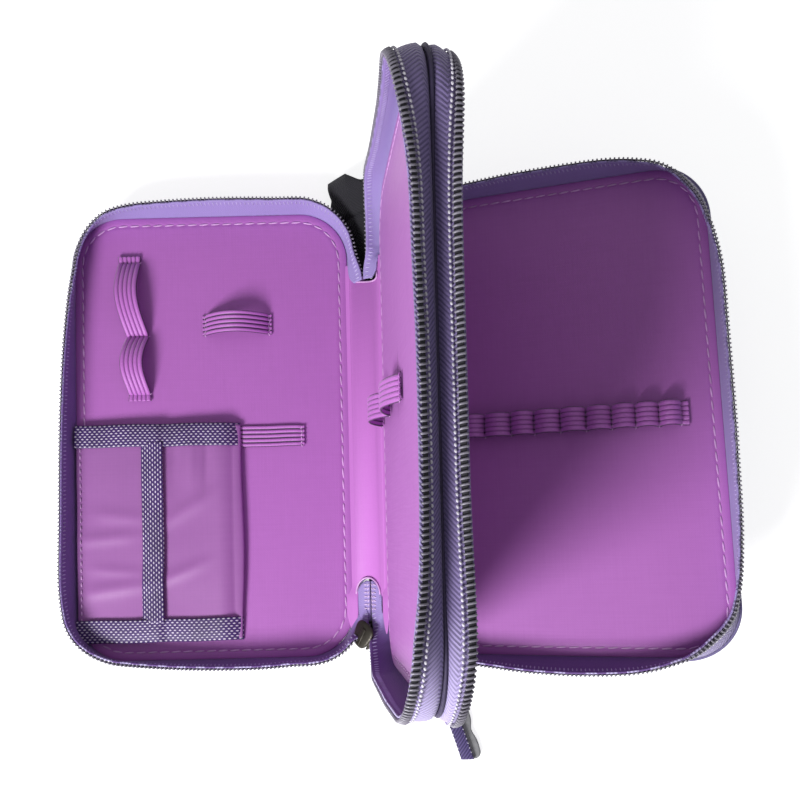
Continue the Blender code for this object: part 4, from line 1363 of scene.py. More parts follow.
@dataclass
class PaddedLeaf:
    """Lining, stitching, padded shell and zip of one leaf of the case."""

    name: str
    leaf: LeafFrame
    strip: LeafFrame
    strip_width: float
    palette: Palette
    zipper: ZipKit
    rim: Rim
    wall: Wall
    size: LeafSize = field(default_factory=LeafSize)
    shell_depth: float = 0.0070
    shell_wave: float = 0.00018
    welt_radius: float = 0.00065
    stitch_inset: float = 0.0031
    stitch_pitch: float = 0.0051
    stitch: tuple[float, float, float] = (0.0043, 0.00078, 0.0006)
    stitch_slant: float = math.radians(5.0)
    pucker: float = 0.00010
    lining_wave: float = 0.00022
    zip_start: float = 0.0900
    zip_end: float = 0.0800
    zip_line: float = 0.0100
    seed: float = 1.0

    def ring(self, inset: float) -> Array:
        """Outline of the leaf drawn in by an inset."""
        size = self.size
        low = 2 * size.gap
        return round_box(
            low + inset, size.width - size.gap - inset, size.half_length - size.gap - inset,
            size.radius - size.gap - inset,
        )

    def lining(self, *nodes: str) -> Object:
        """Cloth-covered inner panel with a sewn groove near its edge."""
        rows, marks = [], []
        for distance, height in np.array(LINING_ROWS) / 1000:
            ring = self.ring(distance)
            near_seam = math.exp(-(((distance - self.stitch_inset) / 0.0016) ** 2))
            wave = np.sin(2 * math.pi * run_along(ring) / self.stitch_pitch)
            pucker = self.pucker * wave * near_seam
            inside = min(1.0, max(0.0, distance - 0.004) / 0.02)
            soft = self.lining_wave * ripple(ring[:, 0], ring[:, 1], 0.045, self.seed) * inside
            on_top = height > -self.size.cloth * 0.3
            rows.append(self.leaf.world(ring[:, 0], ring[:, 1], height + (pucker + soft) * on_top))
            marks.append(closed(ring))
        panel = solid_through(f"{self.name}_lining_cloth", np.array(rows), np.array(marks))
        self.palette.dress(panel, "lining_cloth")
        return finish_piece(panel, self.leaf.body, "lining_cloth", *nodes)

    @property
    def board(self) -> str:
        """Stiff piece under the lining."""
        if self.leaf.body is Body.DIVIDER:
            return "divider_board"
        return f"{self.leaf.body.value}_padding"

    def stitches(self) -> Object:
        """Machine stitches in the lining's groove."""
        line = closed(self.ring(self.stitch_inset))
        run = run_along(line)
        count = int(run[-1] / self.stitch_pitch)
        spots = run[-1] * (np.arange(count) + 0.5) / count
        half = self.stitch[0] / 2

        def at(distance: Array) -> Array:
            distance = np.mod(distance, run[-1])
            return self.leaf.world(*(np.interp(distance, run, line[:, k]) for k in range(2)), 0.0)

        low, high = at(spots - half), at(spots + half)
        ahead = unit(high - low)
        out = np.tile(np.array(self.leaf.facing), (count, 1))
        slant = self.stitch_slant
        turned = ahead * math.cos(slant) + np.cross(out, ahead) * math.sin(slant)
        places = matrices((turned, np.cross(out, turned), out), (low + high) / 2 - out * 0.00004)
        thread = scatter(f"{self.name}_stitches", self.zipper.dash(*self.stitch), places)
        self.palette.dress(thread, "pink_thread")
        return finish_piece(thread, self.leaf.body, "lining_cloth")

    def shell(self, *nodes: str) -> Object:
        """Padded outer shell with a soft lower edge."""
        size = self.size
        rows, marks = [], []
        for distance, height in SHELL_ROWS:
            inset = distance / 1000
            ring = round_box(
                size.gap + max(inset, 0.0), size.width - inset, size.half_length - inset,
                size.radius - inset,
            )
            soft = self.shell_wave * ripple(ring[:, 0], ring[:, 1] + height, 0.03, self.seed + 2.0)
            out = unit(ring - np.array([size.width / 2, 0.0]))
            if -6.5 <= height <= -1.5:
                ring = ring + out * (soft - self.shell_wave)[:, None] * (ring[:, :1] > 0.004)
            rows.append(self.leaf.world(ring[:, 0], ring[:, 1], height / 1000))
            marks.append(closed(ring + out * (self.shell_depth + height / 1000)))
        pad = solid_through(f"{self.name}_padded_shell", np.array(rows), np.array(marks))
        self.palette.dress(pad, "shell_cloth")
        return finish_piece(pad, self.leaf.body, "shell_cloth", *nodes)

    def welt(self) -> Object:
        """Piping where the tape is sewn to the shell."""
        along = np.linspace(0.0, self.rim.length, RIM_STEPS)
        turn = full_turn(8)
        offset = 0.0011 + self.welt_radius * np.cos(turn)[None, :]
        level = -0.0010 + self.welt_radius * np.sin(turn)[None, :]
        points = self.leaf.beside(*self.rim.at(along), offset, level)
        cord = solid_through(
            f"{self.name}_welt", points, pairs(along, np.linspace(0.0, 0.004, len(turn) + 1)),
        )
        self.palette.dress(cord, "shell_cloth")
        return finish_piece(cord, self.leaf.body, "shell_cloth")

    @property
    def toward(self) -> float:
        """Side of the zip line that the leaf lies on: 1 for a cover, -1 for the divider."""
        return -1.0 if self.leaf.body is Body.DIVIDER else 1.0

    @property
    def side(self) -> float:
        """Width of the strip between the zip line and the leaf's fold."""
        return self.zip_line if self.toward < 0 else self.strip_width - self.zip_line

    def on_strip(self, places: Sequence[tuple[float, float, float]]) -> list[Array]:
        """World places of points on the strip, by distance from the zip line, y and height."""
        return [self.strip.world(self.zip_line + self.toward * b, y, n) for b, y, n in places]

    def rise(self, wall: TapeRun, end: float) -> Array:
        """Sections of the tape that rises from a notch to the leaf's wall.

        Args:
            wall: Run of the wall.
            end: -1 for the slider's end, +1 for the stopped end.

        Returns:
            Sections from the notch to the wall, without the wall's own first one.
        """
        side = self.side
        zip_start, zip_end = self.rim.run_at(-self.zip_start), self.rim.run_at(self.zip_end)
        if end < 0:
            index, nearby, rim_part = 0, 1, (0.0, zip_start)
            tip = [(0.0010, -0.0800, 0.0003), (0.0020, -0.0895, 0.0005)]
            foot = [
                (0.0062, -0.0705, -0.0005), (side - 0.0034, -0.0760, 0.0),
                (side - 0.0030, -0.0810, 0.0),
            ]
        else:
            index, nearby, rim_part = -1, -2, (self.rim.length, zip_end)
            tip = [(0.0004, 0.0662, 0.0002), (0.0009, 0.0705, 0.0006)]
            foot = [
                (0.0055, 0.0656, 0.0002), (side - 0.0018, 0.0680, 0.0003),
                (side - 0.0010, 0.0740, 0.0003),
            ]
        joint = wall.sections[index]
        along = wall.sections[nearby, 0] - joint[0]
        along = along / np.linalg.norm(along)
        tops = self.on_strip(tip) + [joint[0] - along * 0.0030, joint[0]]
        base = self.leaf.beside(
            *self.rim.at(np.linspace(*rim_part, 6)), self.wall.foot, self.wall.base,
        )[:, 0]
        top = smooth_path(np.array(tops), RISE_STEPS)[:, None]
        low = smooth_path(np.array(self.on_strip(foot) + list(base)), RISE_STEPS)[:, None]
        share = np.linspace(0.0, 1.0, joint.shape[0])[None, :, None]
        bow = joint - (joint[0] + (joint[-1] - joint[0]) * share[0])
        growth = np.linspace(0.0, 1.0, RISE_STEPS)[:, None, None] ** 2
        return (top * (1 - share) + low * share + bow[None] * growth)[:-1]

    def tape_run(self) -> TapeRun:
        """Run of the tape from the lower notch round the leaf to the upper notch."""
        wall = self.wall.run(
            self.rim, self.rim.run_at(-self.zip_start), self.rim.run_at(self.zip_end),
        )
        sections = np.concatenate(
            [self.rise(wall, -1.0), wall.sections, self.rise(wall, 1.0)[::-1]]
        )
        outward = np.zeros((len(sections), 3))
        outward[RISE_STEPS - 1:1 - RISE_STEPS] = wall.outward
        return TapeRun(sections, outward)

    def zip(self, *nodes: str) -> None:
        """Tape, coil and threads of the zip round the leaf."""
        run = self.tape_run()
        tape = self.zipper.sheet(f"{self.name}_tape", run)
        self.palette.dress(tape, "tape_inside", "tape_outside")
        coil = self.zipper.coil(f"{self.name}_coil", run, self.palette)
        outer = self.zipper.outer_threads(f"{self.name}_coil_thread", run)
        self.palette.dress(outer, "white_thread")
        ticks = self.zipper.inner_ticks(f"{self.name}_tape_stitches", run)
        self.palette.dress(ticks, "tape_thread")
        ends = (
            self.on_strip([(self.side - 0.0045, 0.0, 0.0)])[0], self.leaf.world(0.0030, 0.0, 0.0),
        )
        bodies = (self.strip.body, self.leaf.body)
        finish_bend(tape, bodies, ends, "zip_tape", nodes[0])
        finish_bend(coil, bodies, ends, "zip_teeth", nodes[1])
        finish_bend(outer, bodies, ends, "zip_tape")
        finish_bend(ticks, bodies, ends, "zip_tape")


def paint_outer_face(tape: Object, run: TapeRun) -> None:
    """Give a tape's outward faces the second finish."""
    faces = tape.data.polygons
    centres, normals = np.zeros((2, len(faces) * 3))
    faces.foreach_get("center", centres)
    faces.foreach_get("normal", normals)
    centres, normals = centres.reshape(-1, 3), normals.reshape(-1, 3)
    sparse = (slice(None, None, max(1, len(run.sections) // 60)), slice(0, None, 3))
    middle, facing = run.sections[sparse].reshape(-1, 3), run.normal[sparse].reshape(-1, 3)
    nearest = np.argmin(((centres[:, None, :] - middle[None, :, :]) ** 2).sum(axis=2), axis=1)
    outside = (normals * facing[nearest]).sum(axis=1) > 0
    faces.foreach_set("material_index", outside.astype(np.int32))


# Folding strips between the covers and the divider.


@dataclass(frozen=True)
class Notch:
    """Shape of the notch in one end of a strip."""

    shift: float
    half: float
    depth: float
    power: float
    lowered: float = 0.0
    slope: float = 0.0


STOP_NOTCH = Notch(0.0, 0.0082, 0.0042, 0.55, slope=0.2)
SLIDER_NOTCH = Notch(0.0013, 0.0071, 0.0071, 1.0, lowered=0.0010)


@dataclass
class FoldingStrip:
    """Spine strip of one compartment with its zip ends."""

    name: str
    strip: LeafFrame
    width: float
    leaves: tuple[PaddedLeaf, PaddedLeaf]
    palette: Palette
    zipper: ZipKit
    half_length: float = 0.0750
    notch_bottom: float = 0.0650
    notch_half: float = 0.0071
    crease_end: float = 0.0875
    zip_line: float = 0.0100
    swing: float = 0.0006
    cloth: float = 0.0008
    panel: float = 0.0010
    crease_reach: float = 0.0026
    tail_half: float = 0.0069
    tail_end: float = 0.0823

    def notch(self, end: float, inset: float = 0.0) -> Array:
        """Outline of the notch in one end: flat-bottomed at the stop, round at the slider."""
        shape = STOP_NOTCH if end > 0 else SLIDER_NOTCH
        turn = np.linspace(math.pi, 0.0, 23)
        across = np.sign(np.cos(turn)) * np.abs(np.cos(turn)) ** shape.power * (shape.half + inset)
        bottom = self.notch_bottom - shape.lowered
        level = bottom + shape.depth - (shape.depth + inset) * np.sin(turn) ** shape.power
        return np.stack(
            [self.zip_line + shape.shift + across, level + shape.slope * across], axis=1,
        )

    def outline(self, inset: float) -> Array:
        """Outline of the strip with a notch in each end."""
        edge = self.half_length - inset
        low, high = self.swing + inset, self.width - self.swing - inset
        upper, lower = (
            np.concatenate([
                [[low, edge], [low + 0.0002, edge]], self.notch(end, inset),
                [[high - 0.0002, edge], [high, edge]],
            ])
            for end in (1.0, -1.0)
        )
        return np.concatenate([upper, lower[::-1] * (1.0, -1.0)])

    def plate(self, name: str, low: float, high: float, sag: float) -> Object:
        """Cloth-covered plate between two levels, hollowed across its width."""
        soft = 0.00025
        rows = [self.outline(inset) for inset in (soft, 0.0, 0.0, soft)]
        levels = (low, low + soft, high - soft, high)
        points = [self.strip.world(row[:, 0], row[:, 1], level) for row, level in zip(rows, levels)]
        marks = [closed(row) for row in rows]
        made = surface(name, np.array(points), np.array(marks), wrap=True, caps=True)
        select_only(made)
        bpy.ops.object.mode_set(mode="EDIT")
        for share in np.linspace(0.1, 0.9, 9):
            spot = self.strip.world(self.width * share, 0.0, 0.0)
            bpy.ops.mesh.select_all(action="SELECT")
            bpy.ops.mesh.bisect(
                plane_co=tuple(spot), plane_no=tuple(self.strip.along), threshold=1e-7,
            )
        leave_edit()
        turn_outwards(made)
        origin = np.array(self.strip.origin)
        for vertex in made.data.vertices:
            across = (np.array(vertex.co) - origin) @ np.array(self.strip.along)
            drop = sag * math.sin(math.pi * min(1.0, max(0.0, across / self.width)))
            vertex.co = vertex.co - self.strip.facing * drop
        made.data.shade_smooth()
        return made

    def plates(self) -> None:
        """Lining and outer panel of the strip."""
        top = -self.cloth - 0.0003
        for kind, finish, slot, low, high, other in (
            # The strip's lining takes the lining cloth made lighter, as painted light.
            ("lining", "lining_cloth_painted_light", "lining_cloth", -self.cloth, 0.0, "panel"),
            ("panel", "shell_cloth", "shell_cloth", top - self.panel, top, "lining"),
        ):
            plate = self.plate(f"{self.name}_strip_{kind}", low, high, 0.0003)
            self.palette.dress(plate, finish)
            finish_piece(plate, self.strip.body, slot, f"{self.name}_spine_{kind}")

    def creases(self) -> None:
        """Cloth that closes the crease at each fold."""
        cover, face = self.leaves
        reach, depth = self.crease_reach, -self.cloth * 0.75
        half, low = self.half_length - 0.0005, -self.crease_end
        spread = np.sin(np.linspace(-math.pi / 2, math.pi / 2, 72))
        along = (half + low) / 2 + (half - low) / 2 * spread
        narrowing = np.clip(np.minimum((half - along) / 0.0045, (along - low) / 0.0075), 0.04, 1.0)
        taper = narrowing[:, None, None] ** 0.6
        raised = 0.0008 * np.clip((-0.0690 - along) / 0.003, 0.0, 1.0)[:, None, None]
        for leaf, across, tag in (
            (cover.leaf, self.width - reach, "cover"), (face.leaf, reach, "divider"),
        ):
            near, far = self.strip.world(across, 0.0, depth), leaf.world(reach, 0.0, depth)
            origin = np.array(leaf.origin)
            fold = origin + (near - origin) * 0.1 + (far - origin) * 0.1
            line = smooth_path(np.array([near, fold, far]), 9)
            points = fold + (np.repeat(line[None, :, :], len(along), axis=0) - fold) * taper
            points = points + raised * np.array(self.strip.facing)
            points[:, :, 1] = along[:, None]
            marks = pairs(along, np.linspace(0.0, 2 * reach, len(line)))
            crease = thicken(surface(f"{self.name}_{tag}_crease", points, marks), 0.0003)
            # The crease cloth takes the lining cloth made lighter, as painted light.
            self.palette.dress(crease, "lining_cloth_painted_light")
            finish_bend(crease, (self.strip.body, leaf.body), (near, far), "lining_cloth")

    def tail(self) -> None:
        """Closed zip end behind the slider: two tape halves with interlocked turns."""
        for toward, tag in ((-1.0, "divider_side"), (1.0, "cover_side")):
            near = self.zip_line + toward * 0.0004
            far = self.zip_line + toward * self.tail_half + 0.0013
            along = np.linspace(-self.tail_end, -(self.notch_bottom + 0.0004), 26)
            lap = self.notch_bottom + self.notch_half
            reach = np.where(
                along < -lap, 1.0,
                np.sqrt(np.clip(1 - ((along + lap) / self.tail_half) ** 2, 0.02, 1.0)),
            )
            share = np.linspace(0.0, 1.0, 7)[None, :]
            spot = near + (far - near) * reach[:, None] * share
            crown = 0.0004 * np.sin(math.pi * share) - 0.0004
            sections = self.strip.world(spot, along[:, None], crown)
            run = TapeRun(sections, np.tile(-np.array(self.strip.facing), (len(along), 1)))
            tape = self.zipper.sheet(f"{self.name}_tail_{tag}_tape", run, rows=8)
            self.palette.dress(tape, "tape_inside", "tape_outside")
            stem = f"{self.name}_zip_end_{tag}"
            finish_piece(tape, self.strip.body, "zip_tape", f"{stem}_tape")
            turns = self.zipper.coil(f"{self.name}_tail_{tag}_coil", run, self.palette)
            finish_piece(turns, self.strip.body, "zip_teeth", f"{stem}_teeth")
            ticks = []
            for key, length, depth, lean in (
                ("hook", 0.0015, 0.0008, 0.9), ("tick", 0.0020, 0.0023, 0.15),
            ):
                spots = self.zipper.stations(run)[2:]
                places = run.frames(
                    spots, depth, -self.zipper.tape / 2, math.pi / 2 - lean * toward,
                )
                ticks.append(
                    scatter(f"{self.name}_{key}", self.zipper.dash(length, 0.0007, 0.0008), places)
                )
            thread = join(f"{self.name}_tail_{tag}_stitches", ticks)
            self.palette.dress(thread, "pale_thread")
            finish_piece(thread, self.strip.body, "zip_teeth")

    def lips(self) -> None:
        """Pale folded lip round each notch."""
        for end, tag in ((1.0, "upper"), (-1.0, "lower")):
            arc_u, arc_y = self.notch(end).T
            lip = tube(
                f"{self.name}_{tag}_notch_lip", self.strip.world(arc_u, end * arc_y, 0.0001),
                0.0004,
            )
            self.palette.dress(lip, "pink_thread")
            finish_piece(lip, self.strip.body, "lining_cloth")

    def stop(self) -> None:
        """Thread-wrapped stop where the two tapes part at the upper end."""
        places = []
        for step in range(4):
            y = self.notch_bottom + 0.0010 + 0.00042 * step
            places.append(np.array(self.strip.matrix(self.zip_line, y, 0.0002)))
        bar = scatter(
            f"{self.name}_end_tack", self.zipper.dash(0.0032, 0.0005, 0.0008), np.array(places),
        )
        self.palette.dress(bar, "dark_thread")
        finish_piece(
            bar, self.strip.body, "slider_metal", f"{self.name}_zip_stop",
            f"{self.name}_zip_top_tape",
        )

    def build(self) -> None:
        """Build the whole strip."""
        self.plates()
        self.creases()
        self.tail()
        self.stop()
        self.lips()


# Elastic holders.


@dataclass
class RibbedElastic:
    """Ribbed elastic band sewn down flat or in loops."""

    name: str
    leaf: LeafFrame
    palette: Palette
    zipper: ZipKit
    spot: tuple[float, float]
    spans: tuple[float, ...]
    heights: tuple[float, ...]
    along_u: bool
    node: str
    width: float = 0.0095
    thickness: float = 0.0007
    ribs: int = 5
    tail: float = 0.0030
    power: float = 0.75
    lap: float = 0.0006
    tack: tuple[float, float, float] = (0.0017, 0.0004, 0.0004)
    tack_pitch: float = 0.0016
    drift: tuple[float, ...] = ()
    lean: float = 0.0
    seed: float = 3.0

    def line(self) -> Array:
        """Side view of the band: (run, height) points."""
        points = [(-self.tail, 0.0), (-0.0012, 0.0)]
        start = 0.0
        for span, height in zip(self.spans, self.heights):
            for share in np.linspace(0.0, 1.0, 25):
                lift = height * math.sin(math.pi * share) ** self.power
                points.append((start + self.lap + (span - 2 * self.lap) * share, lift))
            start += span
        points += [(start + 0.0012, 0.0), (start + self.tail, 0.0)]
        return np.array(points)

    def build(self) -> None:
        """Build the band and the stitches that hold it."""
        line = self.line()
        run = run_along(line)
        fine = np.linspace(0.0, run[-1], max(24, int(run[-1] / 0.00045)))
        path = np.stack([np.interp(fine, run, line[:, k]) for k in range(2)], axis=1)
        slope = unit(np.gradient(path, axis=0))
        normal = np.stack([-slope[:, 1], slope[:, 0]], axis=1)
        across = np.linspace(-0.5, 0.5, self.ribs * 7 + 1)
        phase = (across + 0.5) * self.ribs
        rib = 0.00055 * np.abs(np.sin(math.pi * phase)) ** 0.7
        sewn = self.sewn_runs()
        pinch = np.zeros(len(fine))
        for mark in sewn:
            pinch = np.maximum(pinch, np.exp(-(((path[:, 0] - mark) / 0.0011) ** 2)))
        width = self.width * (1.0 - 0.05 * pinch + 0.015 * ripple(fine, fine * 0, 0.012, self.seed))
        depth = (self.thickness * 0.6 + 0.0003) + rib[None, :] * (1.0 - 0.55 * pinch[:, None])
        forward = path[:, :1] + normal[:, :1] * depth
        height = path[:, 1:] + normal[:, 1:] * depth
        waver = 0.0002 * ripple(fine, fine * 0, 0.02, self.seed + 1)[:, None]
        side = across[None, :] * width[:, None] + waver
        side = side + self.sideways(path)[:, None]
        if self.along_u:
            points = self.leaf.world(self.spot[0] + forward, self.spot[1] + side, height)
        else:
            points = self.leaf.world(self.spot[0] + side, self.spot[1] + forward, height)
        marks = pairs(fine, across * self.width)
        band = thicken(surface(self.name, points, marks), self.thickness * 0.6, -1.0)
        self.palette.dress(band, "elastic_cloth")
        finish_piece(band, self.leaf.body, "elastic", self.node)
        self.tacks(sewn)

    def sideways(self, path: Array) -> Array:
        """Sideways shift of the band's middle along its line."""
        shift = np.zeros(len(path))
        if self.drift:
            shift = shift + np.interp(path[:, 0], self.sewn_runs(), self.drift)
        return shift + self.lean * (path[:, 1] / max(max(self.heights), 0.001)) ** 2

    def sewn_runs(self) -> list[float]:
        """Distances at which the band is sewn down."""
        if not self.spans or self.heights[0] == 0.0:
            return [0.0, sum(self.spans)]
        return [0.0] + [float(v) for v in np.cumsum(self.spans)]

    def tacks(self, sewn: Sequence[float]) -> None:
        """Rows of thread across the band at each sewn line, with a loose end."""
        places = []
        level = 0.0007 + self.thickness * 0.6
        for index, mark in enumerate(sewn):
            for step in range(int(self.width / self.tack_pitch) + 1):
                drift = self.drift[index] if self.drift else 0.0
                side = -self.width / 2 + self.tack_pitch * (step + 0.1) + drift
                turn = turned_by(math.radians(24.0 if step % 2 else -18.0))
                u, y = (mark, side) if self.along_u else (side, mark)
                place = self.leaf.matrix(self.spot[0] + u, self.spot[1] + y, level)
                if self.along_u:
                    place = place @ turned_by(math.pi / 2)
                places.append(np.array(place @ turn))
        thread = scatter(f"{self.name}_tacks", self.zipper.dash(*self.tack), np.array(places))
        self.palette.dress(thread, "pink_thread")
        finish_piece(thread, self.leaf.body, "elastic")


# Pocket on the left cover.


POCKET_FOLDS = (
    (0.22, 0.10, 0.034, 0.0005, 0.05, 0.42), (0.34, -0.06, 0.028, 0.0003, 0.10, 0.40),
    (0.47, 0.05, 0.032, 0.0004, 0.02, 0.36), (0.60, -0.08, 0.034, 0.0003, 0.12, 0.42),
    (0.30, 0.45, 0.040, 0.0005, 0.55, 0.80), (0.12, 0.30, 0.032, 0.0005, 0.52, 0.78),
)
POCKET_DENTS = ((0.60, 0.035, -0.0008), (0.71, 0.030, 0.0006), (0.80, 0.028, -0.0009))


@dataclass
class FlapPocket:
    """Two-pouch pocket of satin cloth with dotted ribbon bindings."""

    leaf: LeafFrame
    palette: Palette
    zipper: ZipKit
    seam_u: float = 0.1204
    hinge_u: float = 0.1110
    free_u: float = 0.0488
    top_y: float = 0.0048
    bottom_y: float = -0.0893
    back: float = 0.0011
    stack: float = 0.0026
    puff: float = 0.0036
    ribbon: float = 0.0095
    pouch_u: float = 0.0872
    roll: float = 0.0095
    cloth: float = 0.0003

    def front(self, u: Array, y: Array) -> Array:
        """Height of the front cloth above the lining."""
        v = np.clip((self.seam_u - u) / (self.seam_u - self.free_u), 0.0, 1.0)
        share = np.clip((y - self.bottom_y) / (self.top_y - self.bottom_y), 0.0, 1.0)
        belly = np.sin(math.pi * share) ** 0.6
        swell = 0.55 + 0.45 * belly
        height = self.stack - 0.0010 + self.puff * v ** 1.3 * swell + 0.0010 * share * v ** 2
        height = height - 0.0040 * np.clip(1 - (u - self.free_u) / self.roll, 0.0, 1.0) ** 2
        folds = 0.0
        for centre, slope, width, tall, first, last in POCKET_FOLDS:
            window = 1 / (1 + np.exp(-(v - first) / 0.03)) / (1 + np.exp((v - last) / 0.04))
            folds = folds + tall * window * np.exp(-(((share - centre - slope * v) / width) ** 2))
        fall = ease((share - 0.62) / 0.25) * ease((0.97 - share) / 0.08)
        for middle, breadth, tall in POCKET_DENTS:
            folds = folds + tall * fall * np.exp(
                -(((v - middle - 0.05 * (share - 0.8)) / breadth) ** 2)
            )
        uneven = 0.00015 * ripple(u, y, 0.02, 5.0)
        return height + 1.6 * folds * (0.35 + 0.65 * np.sin(math.pi * share)) + uneven

    def body_cloth(self) -> None:
        """Front and back cloth as one sheet folded round the free edge."""
        rows = np.linspace(self.bottom_y + 0.0004, self.top_y - 0.0004, 120)
        front_u = np.linspace(self.seam_u - 0.0002, self.free_u + 0.0030, 70)
        sheet = []
        for y in rows:
            level = self.front(front_u, np.full(len(front_u), y))
            top_edge = level[-1]
            radius = (top_edge - self.back) / 2
            turn = np.linspace(0.12, math.pi, 12)
            lean = 0.0010 * math.sin((y - self.bottom_y) * 30)
            fullness = 1 + 0.1 * math.sin(y * 90)
            fold = np.stack([
                front_u[-1] - np.sin(turn) * 0.0030 * fullness - lean * np.sin(turn),
                self.back + radius + radius * np.cos(turn),
            ], axis=1)
            back_u = np.linspace(self.free_u + 0.0030, self.seam_u - 0.0002, 20)
            line = np.concatenate([
                np.stack([front_u, level], axis=1), fold,
                np.stack([back_u[1:], np.full(19, self.back)], axis=1),
            ])
            sheet.append(self.leaf.world(line[:, 0], np.full(len(line), y), line[:, 1]))
        points = np.array(sheet)
        run = run_along(points[60])
        cloth = thicken(surface("pocket_cloth", points, pairs(rows, run)), self.cloth)
        self.palette.dress(cloth, "pocket_satin")
        self.tie(
            cloth, "pocket_nylon", "pocket_back_cloth", "pocket_front_cloth", "pocket_sewn_edge",
        )

    def pouch(self) -> None:
        """Outer pouch cloth on the seam's side."""
        u = np.linspace(self.seam_u, self.pouch_u - 0.004, 46)
        y = np.linspace(self.bottom_y + 0.0004, self.top_y - 0.0004, 120)
        marks = pairs(y, u)
        grid_y, grid_u = marks[..., 0], marks[..., 1]
        lift = 0.0006 + 0.0004 * np.sin(
            math.pi * (self.seam_u - grid_u) / (self.seam_u - self.pouch_u)
        )
        points = self.leaf.world(grid_u, grid_y, self.front(grid_u, grid_y) + lift)
        cloth = thicken(surface("pocket_outer_cloth", points, marks), self.cloth)
        self.palette.dress(cloth, "pocket_satin")
        self.tie(cloth, "pocket_nylon", "pocket_outer_pouch")

    def ribbon_edge(self, name: str, y_edge: float, inward: float, node: str) -> None:
        """Ribbon folded over the pocket's top or bottom edge."""
        u = np.linspace(self.seam_u + 0.0002, self.free_u - 0.0002, 150)
        across = np.concatenate([np.linspace(1.0, 0.0, 14), np.linspace(0.0, 1.0, 6)])
        front = np.arange(20) < 14
        points = []
        for k, (share, on_top) in enumerate(zip(across, front)):
            inset = share * self.ribbon
            y = y_edge + inward * inset + (
                inward * 0.0006 * ripple(u, u * 0, 0.03, 2.0) if on_top else 0.0
            )
            if on_top:
                over_pouch = ease((u - self.pouch_u + 0.006) / 0.004)
                level = np.full(len(u), y_edge + inward * max(inset, 0.0015))
                height = self.front(u, level) + 0.0011 + 0.0010 * over_pouch
                height = height - 0.0008 * (1 - share) ** 4
            else:
                height = np.full(len(u), self.back - 0.0004)
            if k in (13, 14):
                y = y - inward * 0.0004
            points.append(self.leaf.world(u, y, height))
        points = np.array(points)
        run = run_along(points[:, 75])
        marks = pairs(run, u)[..., ::-1]
        ribbon = thicken(surface(name, points, marks), 0.0005)
        self.palette.dress(ribbon, "dotted_ribbon")
        self.tie(ribbon, "ribbon", node)

    def ribbon_centre(self) -> None:
        """Ribbon down the middle that closes the outer pouch's edge."""
        y = np.linspace(
            self.bottom_y + self.ribbon - 0.0015, self.top_y - self.ribbon + 0.0020, 150,
        )
        across = np.linspace(-0.5, 0.5, 14)
        grid_y, grid_a = np.meshgrid(y, across, indexing="ij")
        waver = 0.0005 * ripple(grid_y, grid_y * 0, 0.05, 4.0)
        grid_u = self.pouch_u - 0.0005 + grid_a * 0.0094 + waver
        height = self.front(grid_u, grid_y) + 0.0016 + 0.0006 * np.cos(math.pi * grid_a)
        points = self.leaf.world(grid_u, grid_y, height)
        ribbon = thicken(
            surface("pocket_centre_ribbon", points, np.stack([grid_y, grid_u], axis=-1)), 0.0005,
        )
        self.palette.dress(ribbon, "dotted_ribbon")
        self.tie(ribbon, "ribbon", "pocket_centre_binding")

    def seam_stitches(self) -> None:
        """Stitches along the sewn edge."""
        y = np.arange(self.bottom_y + self.ribbon, self.top_y - self.ribbon, 0.0031)
        u = self.seam_u - 0.0018
        height = self.front(np.full(len(y), u), y) + 0.0012
        places = [
            np.array(self.leaf.matrix(u, a, b) @ turned_by(math.pi / 2)) for a, b in zip(y, height)
        ]
        thread = scatter(
            "pocket_seam_stitches", self.zipper.dash(0.0019, 0.0006, 0.0005), np.array(places),
        )
        self.palette.dress(thread, "pink_thread")
        finish_piece(thread, self.leaf.body, "pocket_nylon")

    def tie(self, obj: Object, slot: str, *nodes: str) -> None:
        """Finish a piece that lies across the hinge between the cover and the flap."""
        start, end = (
            self.leaf.world(self.hinge_u + side * 0.0030, 0.0, 0.0) for side in (1.0, -1.0)
        )
        finish_bend(obj, (Body.LEFT_COVER, Body.POCKET), (start, end), slot, *nodes)

    def build(self) -> None:
        """Build the whole pocket."""
        self.body_cloth()
        self.pouch()
        self.ribbon_edge("pocket_top_ribbon", self.top_y, -1.0, "pocket_top_binding")
        self.ribbon_edge("pocket_bottom_ribbon", self.bottom_y, 1.0, "pocket_bottom_binding")
        self.ribbon_centre()
        self.seam_stitches()


# Sliders, pulls and the grab tab.


